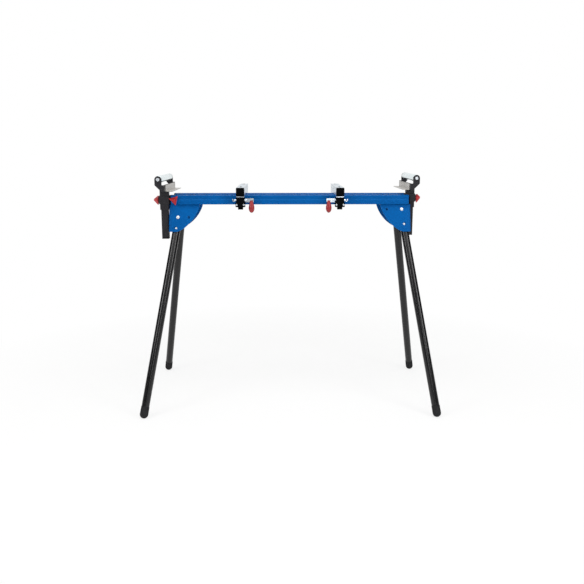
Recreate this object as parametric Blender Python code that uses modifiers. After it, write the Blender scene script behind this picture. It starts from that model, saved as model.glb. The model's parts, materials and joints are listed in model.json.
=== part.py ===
"""Folding machine stand with sliding support arms, height-adjustable rollers and quick clamps.

Metres, +Z up. X runs along the rails, Y from front to back, and the feet stand on Z = 0. The left
support arm runs in the front rail and the right one in the rear rail, so the right arm, its head and
the right bracket are the left ones turned half a turn about Z. The two tool clamps are mirror twins.
"""

import math

import bmesh
import bpy
from mathutils import Matrix, Vector

# Air between faces that seat on one another, and round a pin in its hole
GAP = 0.0003
# How far a cutter runs past the wall that it cuts, and a joined piece into its neighbour
OVERCUT = 0.002

# Rails: two grooved box tubes side by side
RAIL_LENGTH = 0.932
RAIL_DEEP = 0.034
RAIL_TALL = 0.036
RAIL_WALL = 0.002
RAIL_CORNER = 0.003
RAIL_TOP = 0.832
RAIL_LANE = 0.057
GROOVE_WIDE = 0.006
GROOVE_DEEP = 0.001
BUSH_LIP = 0.005
BUSH_INSERT = 0.027
PLUG_LIP = 0.004
PLUG_INSERT = 0.018

# Support arms
ARM_SIZE = 0.025
ARM_WALL = 0.0015
ARM_END_CLEAR = 0.052
TUBE_CORNER = 0.002
SPIGOT = 0.018
SLIDER_LENGTH = 0.028

# Post sleeve at the end of each arm
SLEEVE_TALL = 0.07
SLEEVE_RISE = 0.013
SLEEVE_WALL = 0.0017
BLOCK_STEP = 0.004
BLOCK_MARGIN = 0.0005
LINER_WALL = 0.0012
LINER_FLANGE = 0.006

# Post and roller head
POST_SIZE = 0.027
POST_WALL = 0.0015
POST_LENGTH = 0.186
STEEL = 0.003
HEAD_HALF = 0.14
HEAD_TALL = 0.0255
WEB_SETBACK = 0.0185
TAB_HALF = 0.03
AXLE_RISE = 0.046
EAR_RADIUS = 0.013
EAR_SHOULDER = 0.0208
EAR_FOOT = 0.006
STOP_SHEET = 0.0025
STOP_TALL = 0.0245
STOP_HALF = 0.1165
STOP_FLANGE = 0.025
ROLLER_RADIUS = 0.0135
ROLLER_PLAY = 0.0005
ROLLER_CHAMFER = 0.001
AXLE_RADIUS = 0.004
AXLE_HEAD_RADIUS = 0.006
AXLE_HEAD = 0.003

# Three-cornered clamping knobs
KNOB_RADIUS = 0.0225
KNOB_WAIST = 0.0105
KNOB_PHASE = math.radians(45.0)
KNOB_ROUND = 0.0015
KNOB_SKIRT = 0.004
KNOB_TAPER = 0.014
KNOB_CROWN = 0.2
KNOB_HUB = 0.0075
KNOB_HUB_TALL = 0.0015
STUD_RADIUS = 0.004
BOSS_RADIUS = 0.009
RAIL_BOSS = 0.004
SLEEVE_BOSS = 0.002
KNOB_INSET = 0.0135

# Leg brackets folded from sheet, with cheeks splayed into the legs' own folding planes
SHEET = 0.0025
SPLAY = math.radians(18.0)
FOLD_INSET = 0.012
FOLD_RADIUS = 0.01
BRACKET_LONG = 0.12
BRACKET_FLAT = 0.031
SCALLOP_POWER = 1.5
HOLE_MARGIN = 0.0032
PIVOT_INSET = 0.0356
SWING_CLEAR = 0.0015
STACK_CLEAR = 0.00065
CHEEK_CLEAR = 0.0016

# Legs, feet and lock buttons
LEG_RADIUS = 0.015
LEG_WALL = 0.0015
LEG_HEADROOM = 0.008
FOOT_OUT = 0.1216
FOOT_RADIUS = 0.016
FOOT_LENGTH = 0.045
FOOT_PLUG = 0.025
HIGH_LOCK = 0.059
LOW_LOCK = 0.043
BUTTON_RADIUS = 0.005
BUTTON_CHAMFER = 0.001
BUTTON_FLANGE = 0.0066
BUTTON_FLANGE_TALL = 0.002
BUTTON_DEEP = 0.0125
LOCK_HOLE_PLAY = 0.0005
BOLT_RADIUS = 0.004
BOLT_HEAD_RADIUS = 0.007
BOLT_HEAD = 0.0035
NUT_RADIUS = 0.0072
NUT_TALL = 0.006

# Tool rails and their quick clamps
TOOL_X = 0.193
TOOL_WIDE = 0.03
TOOL_TALL = 0.037
TOOL_WALL = 0.002
TOOL_LIP = 0.007
TOOL_TAIL = 0.131
SADDLE = 0.006
SLOT_WIDE = 0.007
SLOT_LONG = 0.07
SLOT_MARGIN = 0.02
SIDE_HOLE_RADIUS = 0.0028
SIDE_HOLES = 6
SIDE_HOLE_PITCH = 0.04
SIDE_HOLE_DROP = 0.0135
CAP_PROUD = 0.001
FOOT_PLATE = 0.0035
CAP_THICK = 0.006
CAP_PLUG = 0.012
CLAMP_CLEAR = 0.0005
CLAMP_WIDE = 0.031
CLAMP_DEEP = 0.0375
CLAMP_LIP = 0.0072
CLAMP_REACH = 0.01
CLAMP_EAR_WIDE = 0.037
CLAMP_EAR_TALL = 0.0175
CLAMP_EAR_DEEP = 0.022
STUB_WIDE = 0.019
STUB_DEEP = 0.02
STUB_INSET = 0.007
STUB_TALL = 0.0098
SHAFT_INSET = 0.015
SHAFT_RADIUS = 0.004
HOOK_SHEET = 0.004
HOOK_WIDE = 0.026
HOOK_FLANGE = 0.02
LEVER_SHEET = 0.003
LEVER_LONG = 0.033
LEVER_TALL = 0.015
TANG_WIDE = 0.009
TANG_DROP = 0.028
TAIL_RADIUS = 0.009
TAIL_THICK = 0.0035
TAIL_WIDE = 0.01
TAIL_TURN = math.radians(105.0)
HANDLE_LONG = 0.048
HANDLE_RADIUS = 0.0112
HANDLE_BELLY = 0.03
HANDLE_NECK = 0.0062
HANDLE_DROP = 0.0005

# Facets round a full circle, on tubes and on small pins and holes
SIDES = 24
PIN_SIDES = 16
KNOB_SIDES = 36
HOLE_SIDES = 12
NUT_SIDES = 6

# Steps along curved outlines
CORNER_STEPS = 3
FOLD_STEPS = 5
DOME_STEPS = 3
SOLE_STEPS = 5
SLOT_STEPS = 6
SWEEP_STEPS = 12
TAIL_STEPS = 10
SWELL_STEPS = 5
TIP_STEPS = 5

# Faces that meet more steeply than this stay sharp
SHARP_FOLD = math.radians(35.0)
# Points closer than this are one point
WELD = 1e-6

# Places worked out from the sizes above
RAIL_HALF = RAIL_LENGTH / 2
RAIL_MID = RAIL_TOP - RAIL_TALL / 2
RAIL_BOTTOM = RAIL_TOP - RAIL_TALL
RAIL_FACE = RAIL_LANE + RAIL_DEEP / 2
KNOB_X = -(RAIL_HALF - KNOB_INSET)
BORE_DEEP = RAIL_DEEP - 2 * RAIL_WALL
BORE_TALL = RAIL_TALL - 2 * RAIL_WALL
ARM_BORE = ARM_SIZE - 2 * ARM_WALL
LINER_BORE = POST_SIZE + 2 * GAP
LINER_SIZE = LINER_BORE + 2 * LINER_WALL
SLEEVE_BORE = LINER_SIZE + 2 * GAP
COLLAR_SIZE = SLEEVE_BORE + 2 * SLEEVE_WALL
BLOCK_SIZE = COLLAR_SIZE + 2 * BLOCK_STEP
BLOCK_TALL = ARM_SIZE + 2 * BLOCK_MARGIN
SLEEVE_CORNER = TUBE_CORNER + SLEEVE_WALL
SLEEVE_FACE = RAIL_HALF + BUSH_LIP + 2 * GAP
POST_AXIS = SLEEVE_FACE + BLOCK_SIZE / 2
SLEEVE_TOP = RAIL_TOP + SLEEVE_RISE
SLEEVE_BOTTOM = SLEEVE_TOP - SLEEVE_TALL
HEAD_BOTTOM = SLEEVE_TOP + LINER_FLANGE + 2 * GAP
WEB_X = POST_AXIS - WEB_SETBACK
AXLE_Z = HEAD_BOTTOM + AXLE_RISE
POST_TOP = HEAD_BOTTOM - GAP
POST_BOTTOM = POST_TOP - POST_LENGTH
ARM_OUTER = -(SLEEVE_FACE - GAP)
ARM_INNER = RAIL_HALF - PLUG_INSERT - ARM_END_CLEAR - SLIDER_LENGTH - GAP
STUD_HOLE = STUD_RADIUS + GAP
AXLE_HOLE = AXLE_RADIUS + GAP
BRACKET_REACH = POST_AXIS - COLLAR_SIZE / 2 - GAP
BRACKET_TOP = RAIL_BOTTOM - GAP
FOLD_HALF = RAIL_LANE - FOLD_INSET
PIVOT_X = BRACKET_REACH - PIVOT_INSET
CHEEK_INNER = LEG_RADIUS + CHEEK_CLEAR
CHEEK_OUTER = CHEEK_INNER + SHEET
LOCK_HOLE = BUTTON_RADIUS + LOCK_HOLE_PLAY
HIGH_DROP = (
    math.hypot(LEG_HEADROOM, LEG_RADIUS)
    + (SHEET + LEG_RADIUS * math.sin(SPLAY)) / math.cos(SPLAY)
    + SWING_CLEAR
)
LOW_DROP = HIGH_DROP + LEG_RADIUS + FOOT_RADIUS + STACK_CLEAR
BRACKET_TALL = (LOW_DROP + LOW_LOCK + LOCK_HOLE + HOLE_MARGIN) * math.cos(SPLAY)
TOOL_BOTTOM = RAIL_TOP - SADDLE
TOOL_TOP = TOOL_BOTTOM + TOOL_TALL
CLAMP_BACK = RAIL_FACE + CLAMP_CLEAR
TOOL_FRONT = CLAMP_BACK + CLAMP_DEEP
TOOL_REAR = RAIL_FACE + TOOL_TAIL
CLAMP_BOTTOM = RAIL_BOTTOM - GAP - CLAMP_LIP
SHAFT_Y = -(TOOL_FRONT - SHAFT_INSET)
LEVER_START = -TOOL_X + CLAMP_EAR_WIDE / 2 + GAP
HANDLE_X = LEVER_START + LEVER_LONG - TANG_WIDE
HANDLE_TOP = RAIL_MID - HANDLE_DROP

for leftover in list(bpy.data.objects):
    bpy.data.objects.remove(leftover)

STAND = bpy.data.collections.new("machine_stand")
CUTTERS = bpy.data.collections.new("machine_stand_cutters")
bpy.context.scene.collection.children.link(STAND)
bpy.context.scene.collection.children.link(CUTTERS)
HALF_TURN = Matrix.Rotation(math.pi, 4, "Z")
MIRROR_X = Matrix.Scale(-1, 4, Vector((1, 0, 0)))


def workpiece(mesh):
    """A helper object that is cut, joined or finished later."""
    piece = bpy.data.objects.new("workpiece", mesh)
    piece.hide_render = True
    piece.display_type = "WIRE"
    CUTTERS.objects.link(piece)
    return piece


def baked(drawn):
    """Replaces an object by a workpiece with its evaluated mesh, welded and facing outwards."""
    bpy.context.view_layer.update()
    graph = bpy.context.evaluated_depsgraph_get()
    mesh = bpy.data.meshes.new_from_object(drawn.evaluated_get(graph))
    mesh.transform(drawn.matrix_world)
    solid = bmesh.new()
    solid.from_mesh(mesh)
    bmesh.ops.remove_doubles(solid, verts=solid.verts, dist=WELD)
    bmesh.ops.recalc_face_normals(solid, faces=solid.faces)
    solid.to_mesh(mesh)
    solid.free()
    bpy.data.objects.remove(drawn)
    return workpiece(mesh)


def from_bmesh(solid, frame):
    """A workpiece from a bmesh that is drawn in the given frame."""
    bmesh.ops.transform(solid, matrix=frame, verts=solid.verts)
    bmesh.ops.recalc_face_normals(solid, faces=solid.faces)
    mesh = bpy.data.meshes.new("workpiece")
    solid.to_mesh(mesh)
    solid.free()
    return workpiece(mesh)


def axes(origin, first, second):
    """A frame with its first two axes along the given directions, and the third square to both."""
    first = Vector(first)
    second = Vector(second)
    frame = Matrix((first, second, first.cross(second))).transposed().to_4x4()
    return Matrix.Translation(origin) @ frame


def along_x(y=0.0, z=0.0):
    """Frame for sections drawn in (Y, Z) and carried along X."""
    return axes((0, y, z), (0, 1, 0), (0, 0, 1))


def along_y(x=0.0, z=0.0):
    """Frame for sections drawn in (Z, X) and carried along Y."""
    return axes((x, 0, z), (0, 0, 1), (1, 0, 0))


def along_z(x=0.0, y=0.0):
    """Frame for sections drawn in (X, Y) and carried along Z."""
    return Matrix.Translation((x, y, 0))


def box(low, high):
    """A cuboid between two corners."""
    low = Vector(low)
    high = Vector(high)
    solid = bmesh.new()
    bmesh.ops.create_cube(solid, size=1.0)
    frame = Matrix.Translation((low + high) / 2) @ Matrix.Diagonal((high - low).to_4d())
    frame[3][3] = 1.0
    return from_bmesh(solid, frame)


def rod(start, end, radius, sides=PIN_SIDES):
    """A round bar between two points."""
    start = Vector(start)
    run = Vector(end) - start
    solid = bmesh.new()
    bmesh.ops.create_cone(
        solid, cap_ends=True, segments=sides, radius1=radius, radius2=radius, depth=run.length
    )
    turn = Vector((0, 0, 1)).rotation_difference(run).to_matrix().to_4x4()
    return from_bmesh(solid, Matrix.Translation(start + run / 2) @ turn)


def plate(outline, near, far, frame, holes=()):
    """A flat outline with holes, drawn in a frame and carried along its third axis."""
    curve = bpy.data.curves.new("outline", "CURVE")
    curve.dimensions = "2D"
    curve.fill_mode = "BOTH"
    curve.extrude = (far - near) / 2
    for loop in (outline, *holes):
        spline = curve.splines.new("POLY")
        spline.points.add(len(loop) - 1)
        for point, (u, v) in zip(spline.points, loop):
            point.co = (u, v, 0, 1)
        spline.use_cyclic_u = True
    drawn = bpy.data.objects.new("outline", curve)
    drawn.matrix_world = frame @ Matrix.Translation((0, 0, (near + far) / 2))
    CUTTERS.objects.link(drawn)
    return baked(drawn)


def turned(profile, frame, sides=SIDES, ring=False):
    """A profile of (radius, height) points, top to bottom, turned about the frame's third axis."""
    mesh = bpy.data.meshes.new("profile")
    count = len(profile)
    edges = [(i, (i + 1) % count) for i in range(count if ring else count - 1)]
    mesh.from_pydata([(radius, 0, height) for radius, height in profile], edges, [])
    drawn = bpy.data.objects.new("profile", mesh)
    drawn.matrix_world = frame
    CUTTERS.objects.link(drawn)
    screw = drawn.modifiers.new("turn", "SCREW")
    screw.steps = sides
    screw.render_steps = sides
    screw.use_merge_vertices = True
    screw.merge_threshold = 10 * WELD
    return baked(drawn)


def loft(sections, frame):
    """A solid through like-numbered outlines, each given with its height along the third axis."""
    solid = bmesh.new()
    rings = [[solid.verts.new((u, v, w)) for u, v in outline] for outline, w in sections]
    for lower, upper in zip(rings, rings[1:]):
        for i, corner in enumerate(lower):
            solid.faces.new((lower[i - 1], corner, upper[i], upper[i - 1]))
    solid.faces.new(rings[0])
    solid.faces.new(rings[-1])
    return from_bmesh(solid, frame)


def combined(base, operation, tools):
    """Runs one Boolean after another on a workpiece and uses the tools up."""
    for tool in tools:
        step = base.modifiers.new(operation, "BOOLEAN")
        step.operation = operation
        step.solver = "EXACT"
        step.object = tool
    result = baked(base)
    for tool in tools:
        bpy.data.objects.remove(tool)
    return result


def joined(base, *others):
    """One solid from workpieces that overlap."""
    return combined(base, "UNION", others)


def cut(base, *cutters):
    """A workpiece with other workpieces taken out of it."""
    return combined(base, "DIFFERENCE", cutters)


def arc(centre, radius, start, end, steps):
    """Points along an arc, angles in radians."""
    turns = [start + (end - start) * i / steps for i in range(steps + 1)]
    return [(centre[0] + radius * math.cos(t), centre[1] + radius * math.sin(t)) for t in turns]


def circle(radius, centre=(0.0, 0.0), sides=SIDES):
    """A round outline."""
    return arc(centre, radius, 0.0, math.tau * (1 - 1 / sides), sides - 1)


def rectangle(wide, tall, corner=0.0):
    """A rectangle about its own centre, with round corners where a radius is given."""
    across = wide / 2 - corner
    up = tall / 2 - corner
    points = []
    for quarter, (u, v) in enumerate(((across, up), (-across, up), (-across, -up), (across, -up))):
        start = quarter * math.pi / 2
        points += arc((u, v), corner, start, start + math.pi / 2, CORNER_STEPS) if corner else [(u, v)]
    return points


def square(size, corner=0.0):
    """A square about its own centre."""
    return rectangle(size, size, corner)


def finish(name, colour, roughness, metallic=0.0):
    """A Principled material with one linear colour."""
    material = bpy.data.materials.new(name)
    material.use_nodes = True
    shader = material.node_tree.nodes["Principled BSDF"]
    shader.inputs["Base Color"].default_value = (*colour, 1.0)
    shader.inputs["Roughness"].default_value = roughness
    shader.inputs["Metallic"].default_value = metallic
    return material


BLUE = finish("blue_paint", (0.004, 0.095, 0.36), 0.35)
BLACK = finish("black_paint", (0.016, 0.016, 0.017), 0.3)
ZINC = finish("zinc_plate", (0.55, 0.6, 0.64), 0.35, 1.0)
BRIGHT = finish("polished_tube", (0.75, 0.8, 0.82), 0.18, 1.0)
PLASTIC = finish("black_plastic", (0.012, 0.012, 0.013), 0.5)
RED = finish("red_plastic", (0.45, 0.03, 0.035), 0.35)
RUBBER = finish("black_rubber", (0.02, 0.02, 0.02), 0.75)


def body(name, place, parent=None):
    """An empty on a joint's axis that carries the pieces which move on that joint."""
    empty = bpy.data.objects.new(name, None)
    empty.empty_display_size = 0.03
    STAND.objects.link(empty)
    attach(empty, parent)
    empty.matrix_world = Matrix.Translation(place)
    bpy.context.view_layer.update()
    return empty


def attach(thing, parent):
    """Parents a thing without moving it."""
    if parent:
        thing.parent = parent
        thing.matrix_parent_inverse = parent.matrix_world.inverted()


def shade(mesh):
    """Smooth round faces with sharp folds."""
    mesh.shade_smooth()
    mesh.set_sharp_from_angle(angle=SHARP_FOLD)


def part(name, piece, paint, carrier=None):
    """Finishes a workpiece as a named piece of the stand."""
    CUTTERS.objects.unlink(piece)
    STAND.objects.link(piece)
    piece.name = name
    piece.data.name = name
    piece.hide_render = False
    piece.display_type = "TEXTURED"
    piece.data.materials.clear()
    piece.data.materials.append(paint)
    shade(piece.data)
    attach(piece, carrier)
    return piece


def twin(name, source, placing, carrier=None):
    """A second piece with the same mesh, turned or mirrored about the middle of the stand."""
    copy = bpy.data.objects.new(name, source.data)
    STAND.objects.link(copy)
    copy.matrix_world = placing
    attach(copy, carrier)
    return copy


def rail():
    """The front rail: a grooved box tube with a welded boss for the arm knob near its open end."""
    tube = plate(
        rectangle(RAIL_DEEP, RAIL_TALL, RAIL_CORNER),
        -RAIL_HALF,
        RAIL_HALF,
        along_x(-RAIL_LANE, RAIL_MID),
        [rectangle(BORE_DEEP, BORE_TALL)],
    )
    groove = box(
        (-RAIL_LENGTH, -RAIL_FACE - OVERCUT, RAIL_MID - GROOVE_WIDE / 2),
        (RAIL_LENGTH, -RAIL_FACE + GROOVE_DEEP, RAIL_MID + GROOVE_WIDE / 2),
    )
    seat = -RAIL_FACE + (GROOVE_DEEP + RAIL_WALL) / 2
    boss = rod((KNOB_X, seat, RAIL_MID), (KNOB_X, -RAIL_FACE - RAIL_BOSS, RAIL_MID), BOSS_RADIUS)
    hole = rod(
        (KNOB_X, -RAIL_FACE - RAIL_BOSS - OVERCUT, RAIL_MID),
        (KNOB_X, -RAIL_LANE, RAIL_MID),
        STUD_HOLE,
    )
    return cut(joined(cut(tube, groove), boss), hole)


def guide_bush():
    """Plastic bush in the open end of the front rail, in which the arm slides."""
    frame = along_x(-RAIL_LANE, RAIL_MID)
    outer = -(RAIL_HALF + GAP + BUSH_LIP)
    inner = -(RAIL_HALF - BUSH_INSERT)
    lip = plate(rectangle(RAIL_DEEP, RAIL_TALL, RAIL_CORNER), outer, outer + BUSH_LIP, frame)
    insert = plate(
        rectangle(BORE_DEEP - 2 * GAP, BORE_TALL - 2 * GAP), outer + BUSH_LIP / 2, inner, frame
    )
    bore = plate(square(ARM_SIZE + 2 * GAP), outer - OVERCUT, inner + OVERCUT, frame)
    hole = rod((KNOB_X, -RAIL_FACE, RAIL_MID), (KNOB_X, -RAIL_LANE, RAIL_MID), STUD_HOLE)
    return cut(joined(lip, insert), bore, hole)


def rail_plug():
    """Plastic plug in the closed end of the front rail."""
    frame = along_x(-RAIL_LANE, RAIL_MID)
    start = RAIL_HALF + GAP
    lip = plate(rectangle(RAIL_DEEP, RAIL_TALL, RAIL_CORNER), start, start + PLUG_LIP, frame)
    insert = plate(
        rectangle(BORE_DEEP - 2 * GAP, BORE_TALL - 2 * GAP),
        RAIL_HALF - PLUG_INSERT,
        start + PLUG_LIP / 2,
        frame,
    )
    return joined(lip, insert)


def arm_tube():
    """Square tube that slides out of the front rail to the left."""
    frame = along_x(-RAIL_LANE, RAIL_MID)
    return plate(square(ARM_SIZE, TUBE_CORNER), ARM_OUTER, ARM_INNER, frame, [square(ARM_BORE)])


def arm_slider():
    """Plastic shoe that guides the arm's inner end in the rail."""
    frame = along_x(-RAIL_LANE, RAIL_MID)
    start = ARM_INNER + GAP
    shoe = plate(
        rectangle(BORE_DEEP - 2 * GAP, BORE_TALL - 2 * GAP), start, start + SLIDER_LENGTH, frame
    )
    spigot = plate(square(ARM_BORE - 2 * GAP), ARM_INNER - SPIGOT, start + OVERCUT, frame)
    return joined(shoe, spigot)


def sleeve():
    """Cast sleeve on the arm's end: square collars, a wider waist block, a spigot and a boss."""
    collar = square(COLLAR_SIZE, SLEEVE_CORNER)
    block = square(BLOCK_SIZE, SLEEVE_CORNER)
    casting = loft(
        [
            (collar, SLEEVE_BOTTOM),
            (collar, RAIL_BOTTOM),
            (block, RAIL_MID - BLOCK_TALL / 2),
            (block, RAIL_MID + BLOCK_TALL / 2),
            (collar, RAIL_TOP),
            (collar, SLEEVE_TOP),
        ],
        along_z(-POST_AXIS, -RAIL_LANE),
    )
    spigot = plate(
        square(ARM_BORE - 2 * GAP),
        -SLEEVE_FACE - OVERCUT,
        -SLEEVE_FACE + SPIGOT,
        along_x(-RAIL_LANE, RAIL_MID),
    )
    face = -(POST_AXIS + BLOCK_SIZE / 2)
    boss = rod(
        (face + OVERCUT, -RAIL_LANE, RAIL_MID),
        (face - SLEEVE_BOSS, -RAIL_LANE, RAIL_MID),
        BOSS_RADIUS,
    )
    bore = plate(
        square(SLEEVE_BORE),
        SLEEVE_BOTTOM - OVERCUT,
        SLEEVE_TOP + OVERCUT,
        along_z(-POST_AXIS, -RAIL_LANE),
    )
    return cut(joined(casting, spigot, boss), bore, post_stud_hole())


def post_stud_hole():
    """Cutter for the post knob's stud, from outside the sleeve to the post's axis."""
    outside = -(POST_AXIS + BLOCK_SIZE / 2 + SLEEVE_BOSS + OVERCUT)
    return rod((outside, -RAIL_LANE, RAIL_MID), (-POST_AXIS, -RAIL_LANE, RAIL_MID), STUD_HOLE)


def post_bush():
    """Plastic liner of the sleeve, with a flange on which the head rests."""
    frame = along_z(-POST_AXIS, -RAIL_LANE)
    seat = SLEEVE_TOP + GAP
    liner = plate(square(LINER_SIZE), SLEEVE_BOTTOM, seat + LINER_FLANGE / 2, frame)
    flange = plate(square(COLLAR_SIZE, SLEEVE_CORNER), seat, seat + LINER_FLANGE, frame)
    bore = plate(
        square(LINER_BORE), SLEEVE_BOTTOM - OVERCUT, seat + LINER_FLANGE + OVERCUT, frame
    )
    return cut(joined(flange, liner), bore, post_stud_hole())


def post():
    """Square tube that raises the roller head."""
    return plate(
        square(POST_SIZE, TUBE_CORNER),
        POST_BOTTOM,
        POST_TOP,
        along_z(-POST_AXIS, -RAIL_LANE),
        [square(POST_SIZE - 2 * POST_WALL)],
    )


def post_plug():
    """Plastic plug in the post's lower end."""
    frame = along_z(-POST_AXIS, -RAIL_LANE)
    top = POST_BOTTOM - GAP
    lip = plate(square(POST_SIZE, TUBE_CORNER), top - PLUG_LIP, top, frame)
    insert = plate(
        square(POST_SIZE - 2 * POST_WALL - 2 * GAP),
        top - PLUG_LIP / 2,
        POST_BOTTOM + PLUG_INSERT,
        frame,
    )
    return joined(lip, insert)


def ear_outline():
    """An ear about the axle, in (Z, X): an upright round tab whose foot slants in to the web."""
    web = POST_AXIS - WEB_X + STEEL / 2
    floor = HEAD_BOTTOM - AXLE_Z
    return arc((0, 0), EAR_RADIUS, math.pi / 2, -math.pi / 2, SIDES // 2) + [
        (-EAR_SHOULDER, -EAR_RADIUS),
        (floor, POST_AXIS - WEB_X - EAR_FOOT),
        (floor, web),
        (floor + HEAD_TALL, web),
        (floor + HEAD_TALL, EAR_RADIUS),
    ]


def head_frame():
    """Welded head: a web along the roller, a tab on the post and an ear at each end."""
    web = box(
        (-WEB_X, -RAIL_LANE - HEAD_HALF + STEEL / 2, HEAD_BOTTOM),
        (-WEB_X + STEEL, -RAIL_LANE + HEAD_HALF - STEEL / 2, HEAD_BOTTOM + HEAD_TALL),
    )
    tab = box(
        (-POST_AXIS - POST_SIZE / 2, -RAIL_LANE - TAB_HALF, HEAD_BOTTOM),
        (-WEB_X + STEEL / 2, -RAIL_LANE + TAB_HALF, HEAD_BOTTOM + STEEL),
    )
    frame = along_y(-POST_AXIS, AXLE_Z)
    ends = (-RAIL_LANE - HEAD_HALF, -RAIL_LANE + HEAD_HALF - STEEL)
    ears = [plate(ear_outline(), end, end + STEEL, frame, [circle(AXLE_HOLE)]) for end in ends]
    return joined(web, tab, *ears)


def stop_plate():
    """Zinc angle on the web's inner face, over which the workpiece is slid."""
    back = -WEB_X + STEEL + GAP
    front = back + STOP_SHEET
    reach = front + STOP_FLANGE
    outline = [
        (HEAD_BOTTOM, back),
        (HEAD_BOTTOM + STOP_TALL, back),
        (HEAD_BOTTOM + STOP_TALL, front),
        (HEAD_BOTTOM + STOP_SHEET, front),
        (HEAD_BOTTOM + STOP_SHEET, reach),
        (HEAD_BOTTOM, reach),
    ]
    return plate(outline, -RAIL_LANE - STOP_HALF, -RAIL_LANE + STOP_HALF, along_y())


def roller_frame():
    """Frame at the middle of the roller, with its third axis along the axle."""
    return along_y(-POST_AXIS, AXLE_Z) @ Matrix.Translation((0, 0, -RAIL_LANE))


def roller():
    """Bright roller with a plain bore and broken edges."""
    half = HEAD_HALF - STEEL - ROLLER_PLAY
    edge = ROLLER_RADIUS - ROLLER_CHAMFER
    profile = [
        (AXLE_HOLE, half),
        (edge, half),
        (ROLLER_RADIUS, half - ROLLER_CHAMFER),
        (ROLLER_RADIUS, ROLLER_CHAMFER - half),
        (edge, -half),
        (AXLE_HOLE, -half),
    ]
    return turned(profile, roller_frame(), ring=True)


def axle():
    """Axle with a riveted head outside each ear."""
    seat = HEAD_HALF + GAP
    profile = [
        (0, seat + AXLE_HEAD),
        (AXLE_HEAD_RADIUS, seat + AXLE_HEAD),
        (AXLE_HEAD_RADIUS, seat),
        (AXLE_RADIUS, seat),
        (AXLE_RADIUS, -seat),
        (AXLE_HEAD_RADIUS, -seat),
        (AXLE_HEAD_RADIUS, -seat - AXLE_HEAD),
        (0, -seat - AXLE_HEAD),
    ]
    return turned(profile, roller_frame(), PIN_SIDES)


def knob_outline(scale):
    """Three corners with faintly hollow sides: the radius is the waist over the cosine of the turn.

    The turn is measured from the middle of the nearest side and stretched a little, so that the
    corners reach the full radius.
    """
    stretch = math.acos(KNOB_WAIST / KNOB_RADIUS) / (math.pi / 3)
    points = []
    for i in range(KNOB_SIDES):
        turn = i * math.tau / KNOB_SIDES
        off = (turn - KNOB_PHASE) % (math.tau / 3) - math.pi / 3
        radius = scale * KNOB_WAIST / math.cos(stretch * off)
        points.append((radius * math.cos(turn), radius * math.sin(turn)))
    return points


def knob(frame, stud_length):
    """A clamping knob on a stud; the frame sits on the boss with its third axis outwards."""
    skirt = KNOB_HUB_TALL + KNOB_SKIRT
    rounded = 1 - KNOB_ROUND / KNOB_RADIUS
    grip = loft(
        [
            (knob_outline(rounded), KNOB_HUB_TALL),
            (knob_outline(1.0), KNOB_HUB_TALL + KNOB_ROUND),
            (knob_outline(1.0), skirt),
            (knob_outline(KNOB_CROWN), skirt + KNOB_TAPER - KNOB_ROUND),
            (knob_outline(KNOB_CROWN / 2), skirt + KNOB_TAPER),
        ],
        frame,
    )
    hub = rod(frame @ Vector((0, 0, 0)), frame @ Vector((0, 0, skirt)), KNOB_HUB)
    stud = rod(frame @ Vector((0, 0, -stud_length)), frame @ Vector((0, 0, skirt)), STUD_RADIUS)
    return joined(grip, hub, stud)


def arm_knob():
    """Knob on the front rail that clamps the arm."""
    seat = -(RAIL_FACE + RAIL_BOSS + GAP)
    frame = axes((KNOB_X, seat, RAIL_MID), (1, 0, 0), (0, 0, 1))
    return knob(frame, RAIL_FACE + RAIL_BOSS - RAIL_LANE - ARM_SIZE / 2)


def post_knob():
    """Knob on the sleeve that clamps the post."""
    seat = -(POST_AXIS + BLOCK_SIZE / 2 + SLEEVE_BOSS + GAP)
    frame = axes((seat, -RAIL_LANE, RAIL_MID), (0, 0, 1), (0, 1, 0))
    return knob(frame, BLOCK_SIZE / 2 + SLEEVE_BOSS - POST_SIZE / 2)


def fold_frame(side):
    """Frame of one folding plane: X along the plane's top edge, Y up the plane, Z out of the stand.

    The front plane has side -1 and the rear one +1, and both lean outwards below the rails.
    """
    lean = math.sin(SPLAY)
    rise = math.cos(SPLAY)
    return axes((0, side * FOLD_HALF, BRACKET_TOP), (-side, 0, 0), (0, -side * lean, rise))


def pivot_frame(side, drop):
    """The folding plane's frame moved to a left leg's pivot."""
    return fold_frame(side) @ Matrix.Translation((side * PIVOT_X, -drop, 0))


def leg_run(side, drop):
    """The way from a left leg's pivot to the middle of its round foot, in the pivot's frame."""
    height = BRACKET_TOP - drop * math.cos(SPLAY) - FOOT_RADIUS
    return Vector((side * FOOT_OUT, -height / math.cos(SPLAY), 0))


def leg_frame(side, drop):
    """Frame at a left leg's pivot with its third axis down the leg."""
    outward = Vector((0, 0, 1))
    down = leg_run(side, drop).normalized()
    return pivot_frame(side, drop) @ axes((0, 0, 0), outward, down.cross(outward))


def bracket_plan(half, reach, corner, end):
    """Plan of a bracket in (X, Y): a square inner end and two round folds at the outer end."""
    turn = -(reach - corner)
    quarter = math.pi / 2
    return (
        [(end, half)]
        + arc((turn, half - corner), corner, quarter, 2 * quarter, FOLD_STEPS)
        + arc((turn, corner - half), corner, 2 * quarter, 3 * quarter, FOLD_STEPS)
        + [(end, -half)]
    )


def bracket_half(height, offset):
    """Half width of a bracket at one height, for a face at an offset from the folding plane."""
    return FOLD_HALF + (BRACKET_TOP - height) * math.tan(SPLAY) + offset / math.cos(SPLAY)


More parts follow.
